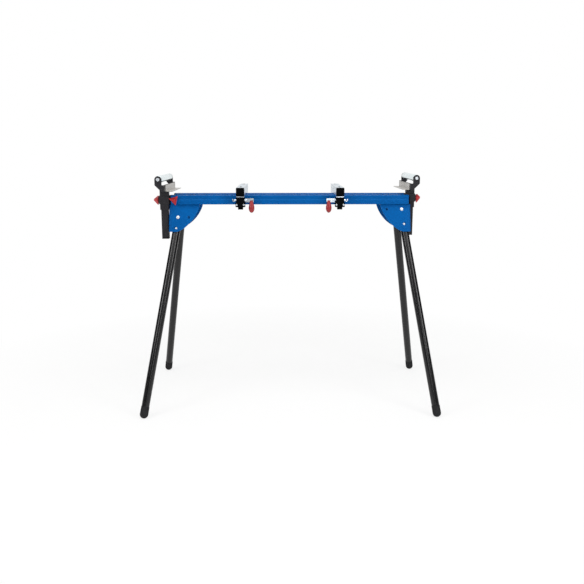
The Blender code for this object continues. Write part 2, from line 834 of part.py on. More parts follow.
def bracket_side():
    """Side view of a bracket in (Z, X): a flat foot, then a swept edge up to the rail."""
    low = BRACKET_TOP - BRACKET_TALL
    sweep_long = BRACKET_LONG - BRACKET_FLAT
    start = -(BRACKET_REACH - BRACKET_FLAT)
    past = -(BRACKET_REACH + OVERCUT)
    sweep = []
    for i in range(SWEEP_STEPS + 1):
        turn = i * math.pi / 2 / SWEEP_STEPS
        along = sweep_long * max(math.sin(turn), 0.0) ** (2 / SCALLOP_POWER)
        down = BRACKET_TALL * max(math.cos(turn), 0.0) ** (2 / SCALLOP_POWER)
        sweep.append((BRACKET_TOP - down, start + along))
    corners = [(BRACKET_TOP + OVERCUT, past), (low - OVERCUT, past), (low - OVERCUT, start)]
    return corners + sweep + [(BRACKET_TOP + OVERCUT, start + sweep_long)]


def cheek_hole(side, drop, place, radius):
    """Cutter through a cheek, square to it, at a place given from the leg's pivot."""
    frame = pivot_frame(side, drop)
    across = Vector((0, 0, CHEEK_INNER - OVERCUT)), Vector((0, 0, CHEEK_OUTER + OVERCUT))
    return rod(frame @ (place + across[0]), frame @ (place + across[1]), radius)


def bracket():
    """Left bracket: one folded sheet with a top, an end wall and two cheeks that lean outwards."""
    low = BRACKET_TOP - BRACKET_TALL
    end = -(BRACKET_REACH - BRACKET_LONG) + OVERCUT
    blank = loft(
        [
            (bracket_plan(bracket_half(z, CHEEK_OUTER), BRACKET_REACH, FOLD_RADIUS, end), z)
            for z in (low, BRACKET_TOP)
        ],
        Matrix(),
    )
    inside = BRACKET_REACH - SHEET
    corner = FOLD_RADIUS - SHEET
    hollow = loft(
        [
            (bracket_plan(bracket_half(z, CHEEK_INNER), inside, corner, end + OVERCUT), z)
            for z in (low - OVERCUT, BRACKET_TOP - SHEET)
        ],
        Matrix(),
    )
    width = 2 * bracket_half(low, CHEEK_OUTER)
    side_view = plate(bracket_side(), -width, width, along_y())
    shell = combined(cut(blank, hollow), "INTERSECT", [side_view])
    holes = []
    for side, drop, lock in LEFT_LEGS:
        out = leg_run(side, drop).normalized() * lock
        folded = Vector((-side * lock, 0, 0))
        holes.append(cheek_hole(side, drop, Vector(), BOLT_RADIUS + GAP))
        holes.append(cheek_hole(side, drop, out, LOCK_HOLE))
        holes.append(cheek_hole(side, drop, folded, LOCK_HOLE))
    return cut(shell, *holes)


def pivot_bolt(side, drop):
    """Domed bolt through a cheek and a leg, with its nut on the leg's inner side."""
    frame = pivot_frame(side, drop)
    seat = CHEEK_OUTER + GAP
    inner = -LEG_RADIUS - GAP
    dome = arc((0, seat), 1.0, math.pi / 2, 0.0, DOME_STEPS)
    head = [(BOLT_HEAD_RADIUS * r, seat + BOLT_HEAD * (z - seat)) for r, z in dome]
    head[0] = (0.0, seat + BOLT_HEAD)
    shank = [(BOLT_RADIUS, seat), (BOLT_RADIUS, inner - NUT_TALL / 2), (0.0, inner - NUT_TALL / 2)]
    bolt = turned(head + shank, frame, PIN_SIDES)
    nut = rod(
        frame @ Vector((0, 0, inner)), frame @ Vector((0, 0, inner - NUT_TALL)), NUT_RADIUS, NUT_SIDES
    )
    return joined(nut, bolt)


def leg_end(side, drop):
    """Where a leg tube stops, from its pivot, so that the foot's collar seats on it."""
    return leg_run(side, drop).length - (FOOT_LENGTH - FOOT_RADIUS) - GAP


def leg(side, drop, lock):
    """Round leg tube with holes for its pivot bolt and its lock button."""
    tube = plate(
        circle(LEG_RADIUS),
        -LEG_HEADROOM,
        leg_end(side, drop),
        leg_frame(side, drop),
        [circle(LEG_RADIUS - LEG_WALL)],
    )
    frame = pivot_frame(side, drop)
    past = Vector((0, 0, LEG_RADIUS + OVERCUT))
    place = leg_run(side, drop).normalized() * lock
    pivot = rod(frame @ -past, frame @ past, BOLT_RADIUS + GAP)
    button = rod(frame @ place, frame @ (place + past), BUTTON_RADIUS + GAP)
    return cut(tube, pivot, button)


def foot(side, drop):
    """Rubber foot: a plug in the leg's bore, a collar on its end and a round sole."""
    end = leg_end(side, drop)
    length = leg_run(side, drop).length
    plug = LEG_RADIUS - LEG_WALL - GAP
    sole = arc((0, length), FOOT_RADIUS, 0.0, math.pi / 2, SOLE_STEPS)
    sole[-1] = (0.0, length + FOOT_RADIUS)
    profile = [(0.0, end - FOOT_PLUG), (plug, end - FOOT_PLUG), (plug, end + GAP)]
    profile += [(FOOT_RADIUS, end + GAP)] + sole
    return turned(profile, leg_frame(side, drop))


def lock_button(side, drop, lock):
    """Sprung pin in the leg, its nose just under the cheek, with a flange that stays in the tube."""
    place = leg_run(side, drop).normalized() * lock
    nose = CHEEK_INNER - GAP
    back = nose - BUTTON_DEEP
    profile = [
        (0.0, nose),
        (BUTTON_RADIUS - BUTTON_CHAMFER, nose),
        (BUTTON_RADIUS, nose - BUTTON_CHAMFER),
        (BUTTON_RADIUS, back + BUTTON_FLANGE_TALL),
        (BUTTON_FLANGE, back + BUTTON_FLANGE_TALL),
        (BUTTON_FLANGE, back),
        (0.0, back),
    ]
    return turned(profile, pivot_frame(side, drop) @ Matrix.Translation(place), PIN_SIDES)


def stadium(wide, long, centre):
    """A slot with round ends in (X, Y), long in Y."""
    radius = wide / 2
    reach = long / 2 - radius
    x, y = centre
    return arc((x, y + reach), radius, 0.0, math.pi, SLOT_STEPS) + arc(
        (x, y - reach), radius, math.pi, math.tau, SLOT_STEPS
    )


def tool_section():
    """Section of the tool rail in (Z, X): a channel open downwards with turned-in lips."""
    half = TOOL_WIDE / 2
    lip = half - TOOL_LIP
    low = TOOL_BOTTOM + TOOL_WALL
    high = TOOL_TOP - TOOL_WALL
    inner = half - TOOL_WALL
    right = [(TOOL_TOP, half), (TOOL_BOTTOM, half), (TOOL_BOTTOM, lip), (low, lip)]
    right += [(low, inner), (high, inner)]
    return right + [(z, -x) for z, x in reversed(right)]


def tool_rail():
    """Zinc channel that carries the machine: a saddle over the rails, a foot plate, slots and holes."""
    channel = plate(tool_section(), -TOOL_FRONT, TOOL_REAR, along_y(-TOOL_X))
    reach = RAIL_FACE + CLAMP_CLEAR
    saddle = box(
        (-TOOL_X - TOOL_WIDE, -reach, TOOL_BOTTOM - OVERCUT),
        (-TOOL_X + TOOL_WIDE, reach, RAIL_TOP + GAP),
    )
    foot_plate = box(
        (-TOOL_X - TOOL_WIDE / 2 + TOOL_WALL / 2, -TOOL_FRONT, TOOL_BOTTOM),
        (-TOOL_X + TOOL_WIDE / 2 - TOOL_WALL / 2, -reach, TOOL_BOTTOM + FOOT_PLATE),
    )
    inset = SLOT_MARGIN + SLOT_LONG / 2
    cutters = [saddle]
    for y in (inset - TOOL_FRONT, TOOL_REAR - inset):
        slot = stadium(SLOT_WIDE, SLOT_LONG, (-TOOL_X, y))
        cutters.append(plate(slot, TOOL_TOP - TOOL_WALL - OVERCUT, TOOL_TOP + OVERCUT, Matrix()))
    middle = (TOOL_REAR - TOOL_FRONT) / 2
    wall = -TOOL_X + TOOL_WIDE / 2
    height = TOOL_TOP - SIDE_HOLE_DROP
    for i in range(SIDE_HOLES):
        y = middle + (i - (SIDE_HOLES - 1) / 2) * SIDE_HOLE_PITCH
        through = (wall - TOOL_WALL - OVERCUT, y, height), (wall + OVERCUT, y, height)
        cutters.append(rod(*through, SIDE_HOLE_RADIUS, HOLE_SIDES))
    return cut(joined(channel, foot_plate), *cutters)


def front_cap():
    """Plastic cap that plugs the tool rail's front end."""
    sill = FOOT_PLATE + GAP
    frame = along_y(-TOOL_X, TOOL_BOTTOM + (TOOL_TALL + sill) / 2)
    face = -TOOL_FRONT - GAP
    cover = plate(
        rectangle(TOOL_TALL - sill, TOOL_WIDE + 2 * CAP_PROUD, CAP_THICK / 2),
        face - CAP_THICK,
        face,
        frame,
    )
    play = TOOL_WALL + GAP
    plug = plate(
        rectangle(TOOL_TALL - sill - 2 * play, TOOL_WIDE - 2 * play),
        face - CAP_THICK / 2,
        face + CAP_PLUG,
        frame,
    )
    return joined(cover, plug)


def clamp_body():
    """Moulded clamp body: a jaw under the front rail, ears for the screws and a stub below."""
    front = -TOOL_FRONT
    jaw = -(RAIL_FACE - CLAMP_REACH)
    under = RAIL_BOTTOM - GAP
    top = TOOL_BOTTOM - GAP
    outline = [
        (front, CLAMP_BOTTOM),
        (jaw, CLAMP_BOTTOM),
        (jaw, under),
        (-CLAMP_BACK, under),
        (-CLAMP_BACK, top),
        (front, top),
    ]
    block = plate(
        outline,
        -TOOL_X - CLAMP_WIDE / 2,
        -TOOL_X + CLAMP_WIDE / 2,
        along_x(),
        [circle(SHAFT_RADIUS + GAP, (SHAFT_Y, RAIL_MID), PIN_SIDES)],
    )
    ears = box(
        (-TOOL_X - CLAMP_EAR_WIDE / 2, front + GAP, CLAMP_BOTTOM + GAP),
        (-TOOL_X + CLAMP_EAR_WIDE / 2, front + CLAMP_EAR_DEEP, CLAMP_BOTTOM + CLAMP_EAR_TALL),
    )
    stub = box(
        (-TOOL_X - STUB_WIDE / 2, front + STUB_INSET, CLAMP_BOTTOM - STUB_TALL),
        (-TOOL_X + STUB_WIDE / 2, front + STUB_INSET + STUB_DEEP, CLAMP_BOTTOM + OVERCUT),
    )
    return joined(block, ears, stub)


def rear_hook():
    """Zinc hook behind the rear rail, its flange under the tool rail's lips."""
    near = CLAMP_BACK
    far = near + HOOK_SHEET
    tip = RAIL_FACE - CLAMP_REACH
    under = RAIL_BOTTOM - GAP
    top = TOOL_BOTTOM - GAP
    outline = [
        (tip, under),
        (near, under),
        (near, top),
        (far + HOOK_FLANGE, top),
        (far + HOOK_FLANGE, top - HOOK_SHEET),
        (far, top - HOOK_SHEET),
        (far, under - HOOK_SHEET),
        (tip, under - HOOK_SHEET),
    ]
    return plate(outline, -TOOL_X - HOOK_WIDE / 2, -TOOL_X + HOOK_WIDE / 2, along_x())


def lever():
    """Zinc clamp lever: a shaft through the body, a flat blade with a tang and a curled tail."""
    outer = -TOOL_X - CLAMP_EAR_WIDE / 2 - GAP
    half = LEVER_SHEET / 2
    shaft = rod(
        (outer - SHAFT_RADIUS - TAIL_THICK / 2, SHAFT_Y, RAIL_MID),
        (LEVER_START + LEVER_TALL / 2, SHAFT_Y, RAIL_MID),
        SHAFT_RADIUS,
    )
    blade = box(
        (LEVER_START, SHAFT_Y - half, RAIL_MID - LEVER_TALL / 2),
        (LEVER_START + LEVER_LONG, SHAFT_Y + half, RAIL_MID + LEVER_TALL / 2),
    )
    tang = box(
        (HANDLE_X - TANG_WIDE / 2, SHAFT_Y - half, RAIL_MID - LEVER_TALL / 2 - TANG_DROP),
        (HANDLE_X + TANG_WIDE / 2, SHAFT_Y + half, RAIL_MID),
    )
    turned_up = math.pi + TAIL_TURN
    curl = arc((0, 0), TAIL_RADIUS, math.pi, turned_up, TAIL_STEPS)
    curl += arc((0, 0), TAIL_RADIUS - TAIL_THICK, turned_up, math.pi, TAIL_STEPS)
    middle = TAIL_RADIUS - TAIL_THICK / 2
    tail = plate(
        curl,
        SHAFT_Y - TAIL_WIDE / 2,
        SHAFT_Y + TAIL_WIDE / 2,
        along_y(outer - SHAFT_RADIUS, RAIL_MID - SHAFT_RADIUS + middle),
    )
    return joined(shaft, blade, tang, tail)


def handle():
    """Red teardrop grip, slotted to take the lever's blade and tang."""
    swell = [(0.0, 0.0)]
    for i in range(SWELL_STEPS + 1):
        share = i / SWELL_STEPS
        blend = (1 - math.cos(math.pi * share)) / 2
        swell.append((HANDLE_NECK + (HANDLE_RADIUS - HANDLE_NECK) * blend, -HANDLE_BELLY * share))
    tip = HANDLE_LONG - HANDLE_BELLY
    end = [
        (HANDLE_RADIUS * r, tip * z - HANDLE_BELLY)
        for r, z in arc((0, 0), 1.0, 0.0, -math.pi / 2, TIP_STEPS)[1:]
    ]
    end[-1] = (0.0, -HANDLE_LONG)
    place = Matrix.Translation((HANDLE_X, SHAFT_Y, HANDLE_TOP))
    grip = turned(swell + end, place, PIN_SIDES)
    half = LEVER_SHEET / 2 + GAP
    blade = RAIL_MID - LEVER_TALL / 2 - GAP
    mouth = box(
        (HANDLE_X - HANDLE_LONG, SHAFT_Y - half, blade),
        (HANDLE_X + HANDLE_LONG, SHAFT_Y + half, HANDLE_TOP + OVERCUT),
    )
    pocket = box(
        (HANDLE_X - TANG_WIDE / 2 - GAP, SHAFT_Y - half, blade - TANG_DROP),
        (HANDLE_X + TANG_WIDE / 2 + GAP, SHAFT_Y + half, blade + OVERCUT),
    )
    return cut(grip, mouth, pocket)


# Left legs as (side of the stand, drop of the pivot below the bracket's top, pivot to lock button)
LEFT_LEGS = ((-1, LOW_DROP, LOW_LOCK), (1, HIGH_DROP, HIGH_LOCK))


def build_frame():
    """Rails, plugs, bushes and brackets, which stay put."""
    twin("rear_rail", part("front_rail", rail(), BLUE), HALF_TURN)
    twin("rear_rail_plug", part("front_rail_plug", rail_plug(), PLASTIC), HALF_TURN)
    twin("right_guide_bush", part("left_guide_bush", guide_bush(), PLASTIC), HALF_TURN)
    twin("right_bracket", part("left_bracket", bracket(), BLUE), HALF_TURN)


def build_pair(pieces, placing, carriers):
    """Places each left piece and its right twin on the body that carries it."""
    for name, piece, paint in pieces:
        source = part("left_" + name, piece, paint, carriers[0])
        twin("right_" + name, source, placing, carriers[1])


def pair_of_bodies(name, place, placing, parents=(None, None)):
    """An empty for a left body and one for its right twin."""
    left = body("left_" + name, place, parents[0])
    return left, body("right_" + name, placing @ Vector(place), parents[1])


def build_arms():
    """The sliding arms with their posts, roller heads and knobs."""
    arms = pair_of_bodies("arm_slide", (ARM_OUTER, -RAIL_LANE, RAIL_MID), HALF_TURN)
    arm_pieces = [
        ("arm_tube", arm_tube(), BLACK),
        ("arm_slider", arm_slider(), PLASTIC),
        ("sleeve", sleeve(), BLACK),
        ("post_bush", post_bush(), PLASTIC),
    ]
    build_pair(arm_pieces, HALF_TURN, arms)
    posts = pair_of_bodies("post_lift", (-POST_AXIS, -RAIL_LANE, POST_TOP), HALF_TURN, arms)
    post_pieces = [
        ("post", post(), BLACK),
        ("post_plug", post_plug(), PLASTIC),
        ("head_frame", head_frame(), BLACK),
        ("stop_plate", stop_plate(), ZINC),
        ("axle", axle(), ZINC),
    ]
    build_pair(post_pieces, HALF_TURN, posts)
    spins = pair_of_bodies("roller_spin", (-POST_AXIS, -RAIL_LANE, AXLE_Z), HALF_TURN, posts)
    build_pair([("roller", roller(), BRIGHT)], HALF_TURN, spins)
    turns = pair_of_bodies("post_knob_turn", (-POST_AXIS, -RAIL_LANE, RAIL_MID), HALF_TURN, arms)
    build_pair([("post_knob", post_knob(), RED)], HALF_TURN, turns)
    turns = pair_of_bodies("arm_knob_turn", (KNOB_X, -RAIL_FACE, RAIL_MID), HALF_TURN)
    build_pair([("arm_knob", arm_knob(), RED)], HALF_TURN, turns)


def build_clamps():
    """The tool rails with their clamps and levers."""
    clamps = pair_of_bodies("clamp_slide", (-TOOL_X, -RAIL_LANE, RAIL_TOP), MIRROR_X)
    clamp_pieces = [
        ("tool_rail", tool_rail(), ZINC),
        ("front_cap", front_cap(), PLASTIC),
        ("clamp_body", clamp_body(), PLASTIC),
        ("rear_hook", rear_hook(), ZINC),
    ]
    build_pair(clamp_pieces, MIRROR_X, clamps)
    levers = pair_of_bodies("lever_turn", (-TOOL_X, SHAFT_Y, RAIL_MID), MIRROR_X, clamps)
    build_pair([("lever", lever(), ZINC), ("handle", handle(), RED)], MIRROR_X, levers)


def build_legs():
    """Four folding legs, each with a pivot bolt, a rubber foot and a sprung lock button."""
    names = (("front_left", "rear_right"), ("rear_left", "front_right"))
    for (near, far), (side, drop, lock) in zip(names, LEFT_LEGS):
        pivot = pivot_frame(side, drop).translation
        folds = body(near + "_fold", pivot), body(far + "_fold", HALF_TURN @ pivot)
        place = pivot_frame(side, drop) @ (leg_run(side, drop).normalized() * lock)
        presses = (
            body(near + "_press", place, folds[0]),
            body(far + "_press", HALF_TURN @ place, folds[1]),
        )
        pieces = (
            ("leg", leg(side, drop, lock), BLACK, folds),
            ("foot", foot(side, drop), RUBBER, folds),
            ("lock_button", lock_button(side, drop, lock), ZINC, presses),
        )
        bolt = part(near + "_pivot_bolt", pivot_bolt(side, drop), ZINC)
        twin(far + "_pivot_bolt", bolt, HALF_TURN)
        for name, piece, paint, carriers in pieces:
            source = part(near + "_" + name, piece, paint, carriers[0])
            twin(far + "_" + name, source, HALF_TURN, carriers[1])


build_frame()
build_arms()
build_clamps()
build_legs()
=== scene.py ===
"""Looks of a folding machine stand: painted rails and legs, zinc tool rails, red knobs and grips.

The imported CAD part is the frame. Each visible piece is a parametric surface or a bevelled copy of
a CAD node, rides on the CAD body that it belongs to and wears a procedural finish. Metres, +Z up.
"""

import json
import logging
import math
from dataclasses import dataclass
from enum import Enum
from functools import cache, cached_property
from typing import Any, Iterable, Sequence

import bmesh
import bpy
import numpy as np
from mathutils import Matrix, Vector


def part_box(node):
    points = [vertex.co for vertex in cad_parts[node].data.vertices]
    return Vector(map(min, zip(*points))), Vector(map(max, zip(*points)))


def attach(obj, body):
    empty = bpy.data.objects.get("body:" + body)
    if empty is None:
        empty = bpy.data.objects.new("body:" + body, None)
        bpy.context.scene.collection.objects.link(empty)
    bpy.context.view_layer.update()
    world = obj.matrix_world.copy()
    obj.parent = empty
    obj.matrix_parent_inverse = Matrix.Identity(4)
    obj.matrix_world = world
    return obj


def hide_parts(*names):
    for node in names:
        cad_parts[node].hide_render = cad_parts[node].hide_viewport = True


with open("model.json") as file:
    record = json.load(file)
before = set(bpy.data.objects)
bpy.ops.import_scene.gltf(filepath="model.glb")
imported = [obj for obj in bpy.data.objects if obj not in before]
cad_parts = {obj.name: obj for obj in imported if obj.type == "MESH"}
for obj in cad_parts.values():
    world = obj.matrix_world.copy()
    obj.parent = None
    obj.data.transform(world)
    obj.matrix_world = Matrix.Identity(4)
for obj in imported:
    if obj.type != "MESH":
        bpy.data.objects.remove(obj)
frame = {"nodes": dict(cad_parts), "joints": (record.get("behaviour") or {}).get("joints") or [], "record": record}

logging.basicConfig(level=logging.INFO, format="%(message)s")
LOG = logging.getLogger("machine_stand")

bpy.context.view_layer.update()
JOINTS = {joint["name"]: joint for joint in frame["joints"]}
BODY_OF = {
    node: body
    for body, nodes in frame["record"]["behaviour"]["bodies"].items()
    for node in nodes
}

Array = np.ndarray
Tree = bpy.types.NodeTree
Numbers = Sequence[float]
Pairs = Sequence[tuple[float, float]]
# The frame's directions: right, back and up
X, Y, Z = np.eye(3)
QUARTER = math.pi / 2
# Millimetres in a metre; over a feature's size in millimetres it is the scale of a texture
MM_PER_M = 1000.0
# Play between pieces that fit into each other
PLAY = 0.0003
# Points of one mesh that lie closer than this are welded
WELD_GAP = 5e-6
# Triangles of a CAD copy that meet at less than this angle become one face
FLAT = math.radians(0.5)
# Edges of a CAD copy that turn by more than this are rounded
ROUND_FROM = math.radians(28.0)
# Faces that meet more steeply than this are drawn with a crisp edge
CRISP = math.radians(32.0)


class Place(Enum):
    """Where a piece belongs; the member's name is what its CAD names start with."""

    @property
    def word(self) -> str:
        """The start of the CAD names, in small letters."""
        return self.name.lower()


class Side(Place):
    """The two ends of the stand; the value is the sign of X."""

    LEFT = -1
    RIGHT = 1


class Leg(Place):
    """The four legs, numbered from the front left one."""

    FRONT_LEFT = 1
    FRONT_RIGHT = 2
    REAR_LEFT = 3
    REAR_RIGHT = 4


def linear(code: str) -> tuple[float, float, float, float]:
    """Turns an sRGB hex code into linear light.

    Args:
        code: six hex digits after a hash sign.
    Returns:
        Red, green, blue and alpha.
    """
    channels = np.array([int(code[i : i + 2], 16) for i in (1, 3, 5)]) / 255.0
    light = np.where(channels <= 0.04045, channels / 12.92, ((channels + 0.055) / 1.055) ** 2.4)
    return (*light.tolist(), 1.0)


def feed(tree: Tree, node: bpy.types.Node, inputs: dict) -> None:
    """Sets a node's inputs.

    Args:
        tree: the material's node tree.
        node: the node.
        inputs: a value or another node's output for each named or numbered input.
    """
    for name, value in inputs.items():
        if isinstance(value, bpy.types.NodeSocket):
            tree.links.new(value, node.inputs[name])
        else:
            node.inputs[name].default_value = value


def add_node(tree: Tree, kind: str, output: Any, inputs: dict, **settings: Any) -> Any:
    """Adds one shader node, sets it and links it.

    Args:
        tree: the material's node tree.
        kind: the node's type name, after the words that all of them start with.
        output: name or number of the output that is wanted.
        inputs: what its inputs take.
        settings: properties of the node.
    Returns:
        That output of the new node.
    """
    node = tree.nodes.new("ShaderNode" + kind)
    for name, value in settings.items():
        setattr(node, name, value)
    feed(tree, node, inputs)
    return node.outputs[output]


def spanned(tree: Tree, value: Any, *span: float) -> Any:
    """Maps a value from its own low and high to a low and high, and holds it between them."""
    names = ("Value", "From Min", "From Max", "To Min", "To Max")
    return add_node(tree, "MapRange", "Result", dict(zip(names, (value, *span))))


def blended(tree: Tree, share: Any, first: Any, second: Any) -> Any:
    """Mixes two colours or outputs by the share of the second one that shows."""
    # Inputs 0, 6 and 7 and output 2 are the node's sockets for colours
    return add_node(tree, "Mix", 2, {0: share, 6: first, 7: second}, data_type="RGBA")


# How far a rounded normal turns from the true one, as a cosine, where the edge colour starts and is full; that
# colour is rubbing and also painted edge reflection
WEAR_AND_REFLECTION_TURN = (0.995, 0.86)
# The break-up pattern's values, and the share of the edge colour, rubbing and painted reflection, that they leave
WEAR_AND_REFLECTION_PATCHES = (0.42, 0.62, 0.65, 1.0)
# The cloud pattern's values that show the first colour alone and the second alone
CLOUD_SPAN = (0.3, 0.7)
# The gloss pattern's values for the lowest and the highest roughness
GLOSS_SPAN = (0.25, 0.75)
# How many patches of wear and of gloss lie across one cloud
PATCHES_PER_CLOUD, GLOSS_PER_CLOUD = 6.0, 3.0
# Finer octaves of each pattern, and how strongly each octave follows the one before
CLOUD_DETAIL, GRAIN_DETAIL, PATCH_DETAIL, GLOSS_DETAIL = 3.0, 2.0, 2.0, 4.0
OCTAVE_SHARE = 0.55
WEAR_AND_REFLECTION_SAMPLES = 4


@dataclass(frozen=True)
class Finish:
    """A finish: its colours, gloss, grain, and edge colour for rubbing and painted edge reflection, with pattern
    sizes in millimetres.
    """

    name: str
    slot: str
    colour: str
    shade: str
    # Edge colour, for rubbing and for a painted reflection along the edge
    worn: str
    roughness: float
    spread: float
    grain_mm: float
    grain_depth_mm: float
    cloud_mm: float
    metallic: float = 0.0
    stretch: tuple[float, float, float] = (1.0, 1.0, 1.0)
    edge_mm: float = 0.8
    wear: float = 0.5
    specular: float = 0.5

    def noise(self, tree: Tree, place: Any, size_mm: float, detail: float) -> Any:
        """A noise pattern, about a half on average, of one feature size and with finer octaves."""
        inputs = {"Vector": place, "Scale": MM_PER_M / size_mm, "Detail": detail,
                  "Roughness": OCTAVE_SHARE}
        return add_node(tree, "TexNoise", "Fac", inputs)

    def worn_edges(self, tree: Tree, patches: Any) -> Any:
        """Finds outer edges by how far a rounded normal leaves the true one, in patches; their colour stands for
        rubbing and for a painted reflection along the edge.

        Args:
            tree: the material's node tree.
            patches: the pattern that breaks the edge colour up.
        Returns:
            An output from 0 on a plain face to the finish's edge strength on a rubbed edge with its painted
            reflection.
        """
        radius = {"Radius": self.edge_mm / MM_PER_M}
        soft = add_node(tree, "Bevel", "Normal", radius, samples=WEAR_AND_REFLECTION_SAMPLES)
        true = add_node(tree, "NewGeometry", "True Normal", {})
        turn = add_node(tree, "VectorMath", "Value", {0: soft, 1: true}, operation="DOT_PRODUCT")
        edge = spanned(tree, turn, *WEAR_AND_REFLECTION_TURN, 0.0, self.wear)
        broken = spanned(tree, patches, *WEAR_AND_REFLECTION_PATCHES)
        return add_node(tree, "Math", "Value", {0: edge, 1: broken}, operation="MULTIPLY")

    @cache
    def material(self) -> bpy.types.Material:
        """The finish as a material: clouded colour, rubbed edges with painted reflection, uneven gloss and a fine
        grain.

        Returns:
            The material, made once for each finish.
        """
        material = bpy.data.materials.new(self.name)
        material.use_nodes = True
        tree = material.node_tree
        shader = tree.nodes["Principled BSDF"]
        place = add_node(tree, "TexCoord", "Object", {})
        drawn = add_node(tree, "Mapping", "Vector", {"Vector": place, "Scale": self.stretch})
        clouds = self.noise(tree, place, self.cloud_mm, CLOUD_DETAIL)
        grain = self.noise(tree, drawn, self.grain_mm, GRAIN_DETAIL)
        patches = self.noise(tree, place, self.cloud_mm / PATCHES_PER_CLOUD, PATCH_DETAIL)
        sheen = self.noise(tree, drawn, self.cloud_mm / GLOSS_PER_CLOUD, GLOSS_DETAIL)
        share = spanned(tree, clouds, *CLOUD_SPAN, 0.0, 1.0)
        clouded = blended(tree, share, linear(self.colour), linear(self.shade))
        # Edge colour: rubbing, and a painted reflection of the lights, paler on blue paint and darker on zinc
        # plate
        colour = blended(tree, self.worn_edges(tree, patches), clouded, linear(self.worn))
        low, high = self.roughness - self.spread, self.roughness + self.spread
        gloss = spanned(tree, sheen, *GLOSS_SPAN, low, high)
        depth = {"Height": grain, "Strength": 1.0, "Distance": self.grain_depth_mm / MM_PER_M}
        bump = add_node(tree, "Bump", "Normal", depth)
        feed(tree, shader, {"Base Color": colour, "Roughness": gloss, "Normal": bump,
                            "Metallic": self.metallic, "Specular IOR Level": self.specular})
        return material


# Powder coat over steel: an even, slightly pebbled blue with a soft sheen, and paler edges that are a painted
# highlight along folds and the groove lip as well as rubbing
BLUE_COAT = Finish(
    name="steel_powder_coated_blue", slot="blue_paint",
    colour="#015599", shade="#024F91", worn="#3C86BE", roughness=0.42, spread=0.05,
    grain_mm=1.1, grain_depth_mm=0.012, cloud_mm=90.0, edge_mm=1.6, wear=0.3, specular=0.045,
)
# Stoved black paint on round tube: a deep gloss with long highlights and a faint orange peel
BLACK_COAT = Finish(
    name="steel_stove_painted_black", slot="black_paint",
    colour="#0B0A0C", shade="#080709", worn="#58565A", roughness=0.26, spread=0.03,
    grain_mm=2.5, grain_depth_mm=0.006, cloud_mm=70.0, wear=0.4, specular=0.45,
)
# Satin black paint on square tube and castings: an even dark grey sheen, with paler rubbed edges
SATIN_COAT = Finish(
    name="steel_satin_painted_black", slot="black_paint",
    colour="#2C2B2E", shade="#28272A", worn="#5A585C", roughness=0.45, spread=0.06,
    grain_mm=1.0, grain_depth_mm=0.015, cloud_mm=40.0, wear=0.4, specular=0.12,
)
# Bright zinc plate on folded sheet: cool grey, cloudy from the bath, with fine rolling lines and
# dull dark grey edges, a painted dark reflection along the folds as well as where the sheet was cut
ZINC_PLATE = Finish(
    name="steel_bright_zinc_plated", slot="zinc",
    colour="#D8E0E6", shade="#BEC9D2", worn="#4A5058", roughness=0.32, spread=0.09, metallic=1.0,
    grain_mm=0.5, grain_depth_mm=0.008, cloud_mm=24.0, stretch=(1.0, 0.06, 1.0),
    edge_mm=1.2, wear=0.85,
)
# Barrel-plated zinc on bolts, pins and studs: a pale satin that the tumbling has dulled
ZINC_BARREL = Finish(
    name="steel_barrel_zinc_plated", slot="zinc",
    colour="#E6EAEE", shade="#D6DCE2", worn="#F2F4F6", roughness=0.5, spread=0.08, metallic=1.0,
    grain_mm=0.5, grain_depth_mm=0.01, cloud_mm=8.0, wear=0.3,
)
# Brushed sheet under thin zinc: a warmer, duller grey with lines along the bend
ZINC_SHEET = Finish(
    name="steel_sheet_brushed_zinc", slot="zinc",
    colour="#BCB9B4", shade="#ADAAA5", worn="#D2D0CC", roughness=0.4, spread=0.08, metallic=1.0,
    grain_mm=0.4, grain_depth_mm=0.01, cloud_mm=30.0, stretch=(1.0, 0.05, 1.0),
)
# Ground and polished tube: near-mirror steel with hairlines round the roller
BRIGHT_TUBE = Finish(
    name="steel_tube_polished", slot="bright_tube",
    colour="#E4EEEF", shade="#D2DDE0", worn="#F0F4F4", roughness=0.22, spread=0.06, metallic=1.0,
    grain_mm=0.35, grain_depth_mm=0.004, cloud_mm=30.0, stretch=(0.05, 1.0, 0.05), wear=0.3,
)
# Injection-moulded black plastic: a fine leather-like texture that scatters light
BLACK_MOULDED = Finish(
    name="plastic_moulded_black", slot="black_plastic",
    colour="#060709", shade="#040506", worn="#242528", roughness=0.55, spread=0.07,
    grain_mm=0.45, grain_depth_mm=0.03, cloud_mm=26.0, wear=0.35, specular=0.03,
)
# Injection-moulded red plastic on the grips: deep and glossy, with a little flow clouding
RED_MOULDED = Finish(
    name="plastic_moulded_red", slot="red_plastic",
    colour="#9A2A2D", shade="#8C2427", worn="#B95B5B", roughness=0.34, spread=0.06,
    grain_mm=0.6, grain_depth_mm=0.015, cloud_mm=18.0, wear=0.4, specular=0.4,
)
# Glass-filled nylon on the knobs, moulded red: brighter and duller than the grips, paler corners
RED_NYLON = Finish(
    name="nylon_moulded_red", slot="red_plastic",
    colour="#B83034", shade="#A8292D", worn="#C46464", roughness=0.42, spread=0.06,
    grain_mm=0.6, grain_depth_mm=0.02, cloud_mm=16.0, wear=0.4, specular=0.3,
)
# Vulcanised rubber: dull and dusty, with paler rubbed ribs
BLACK_RUBBER = Finish(
    name="rubber_vulcanised_black", slot="rubber",
    colour="#1D1D1E", shade="#232325", worn="#3A3A3C", roughness=0.74, spread=0.08,
    grain_mm=0.7, grain_depth_mm=0.05, cloud_mm=20.0, specular=0.2,
)


def unit(vector: Numbers) -> Array:
    """A direction of length one, as an array."""
    array = np.asarray(vector, float)
    return array / np.linalg.norm(array)


def quarter(steps: int) -> Array:
    """Angles round a quarter circle, from 0 to a right angle."""
    return np.linspace(0.0, QUARTER, steps + 1)


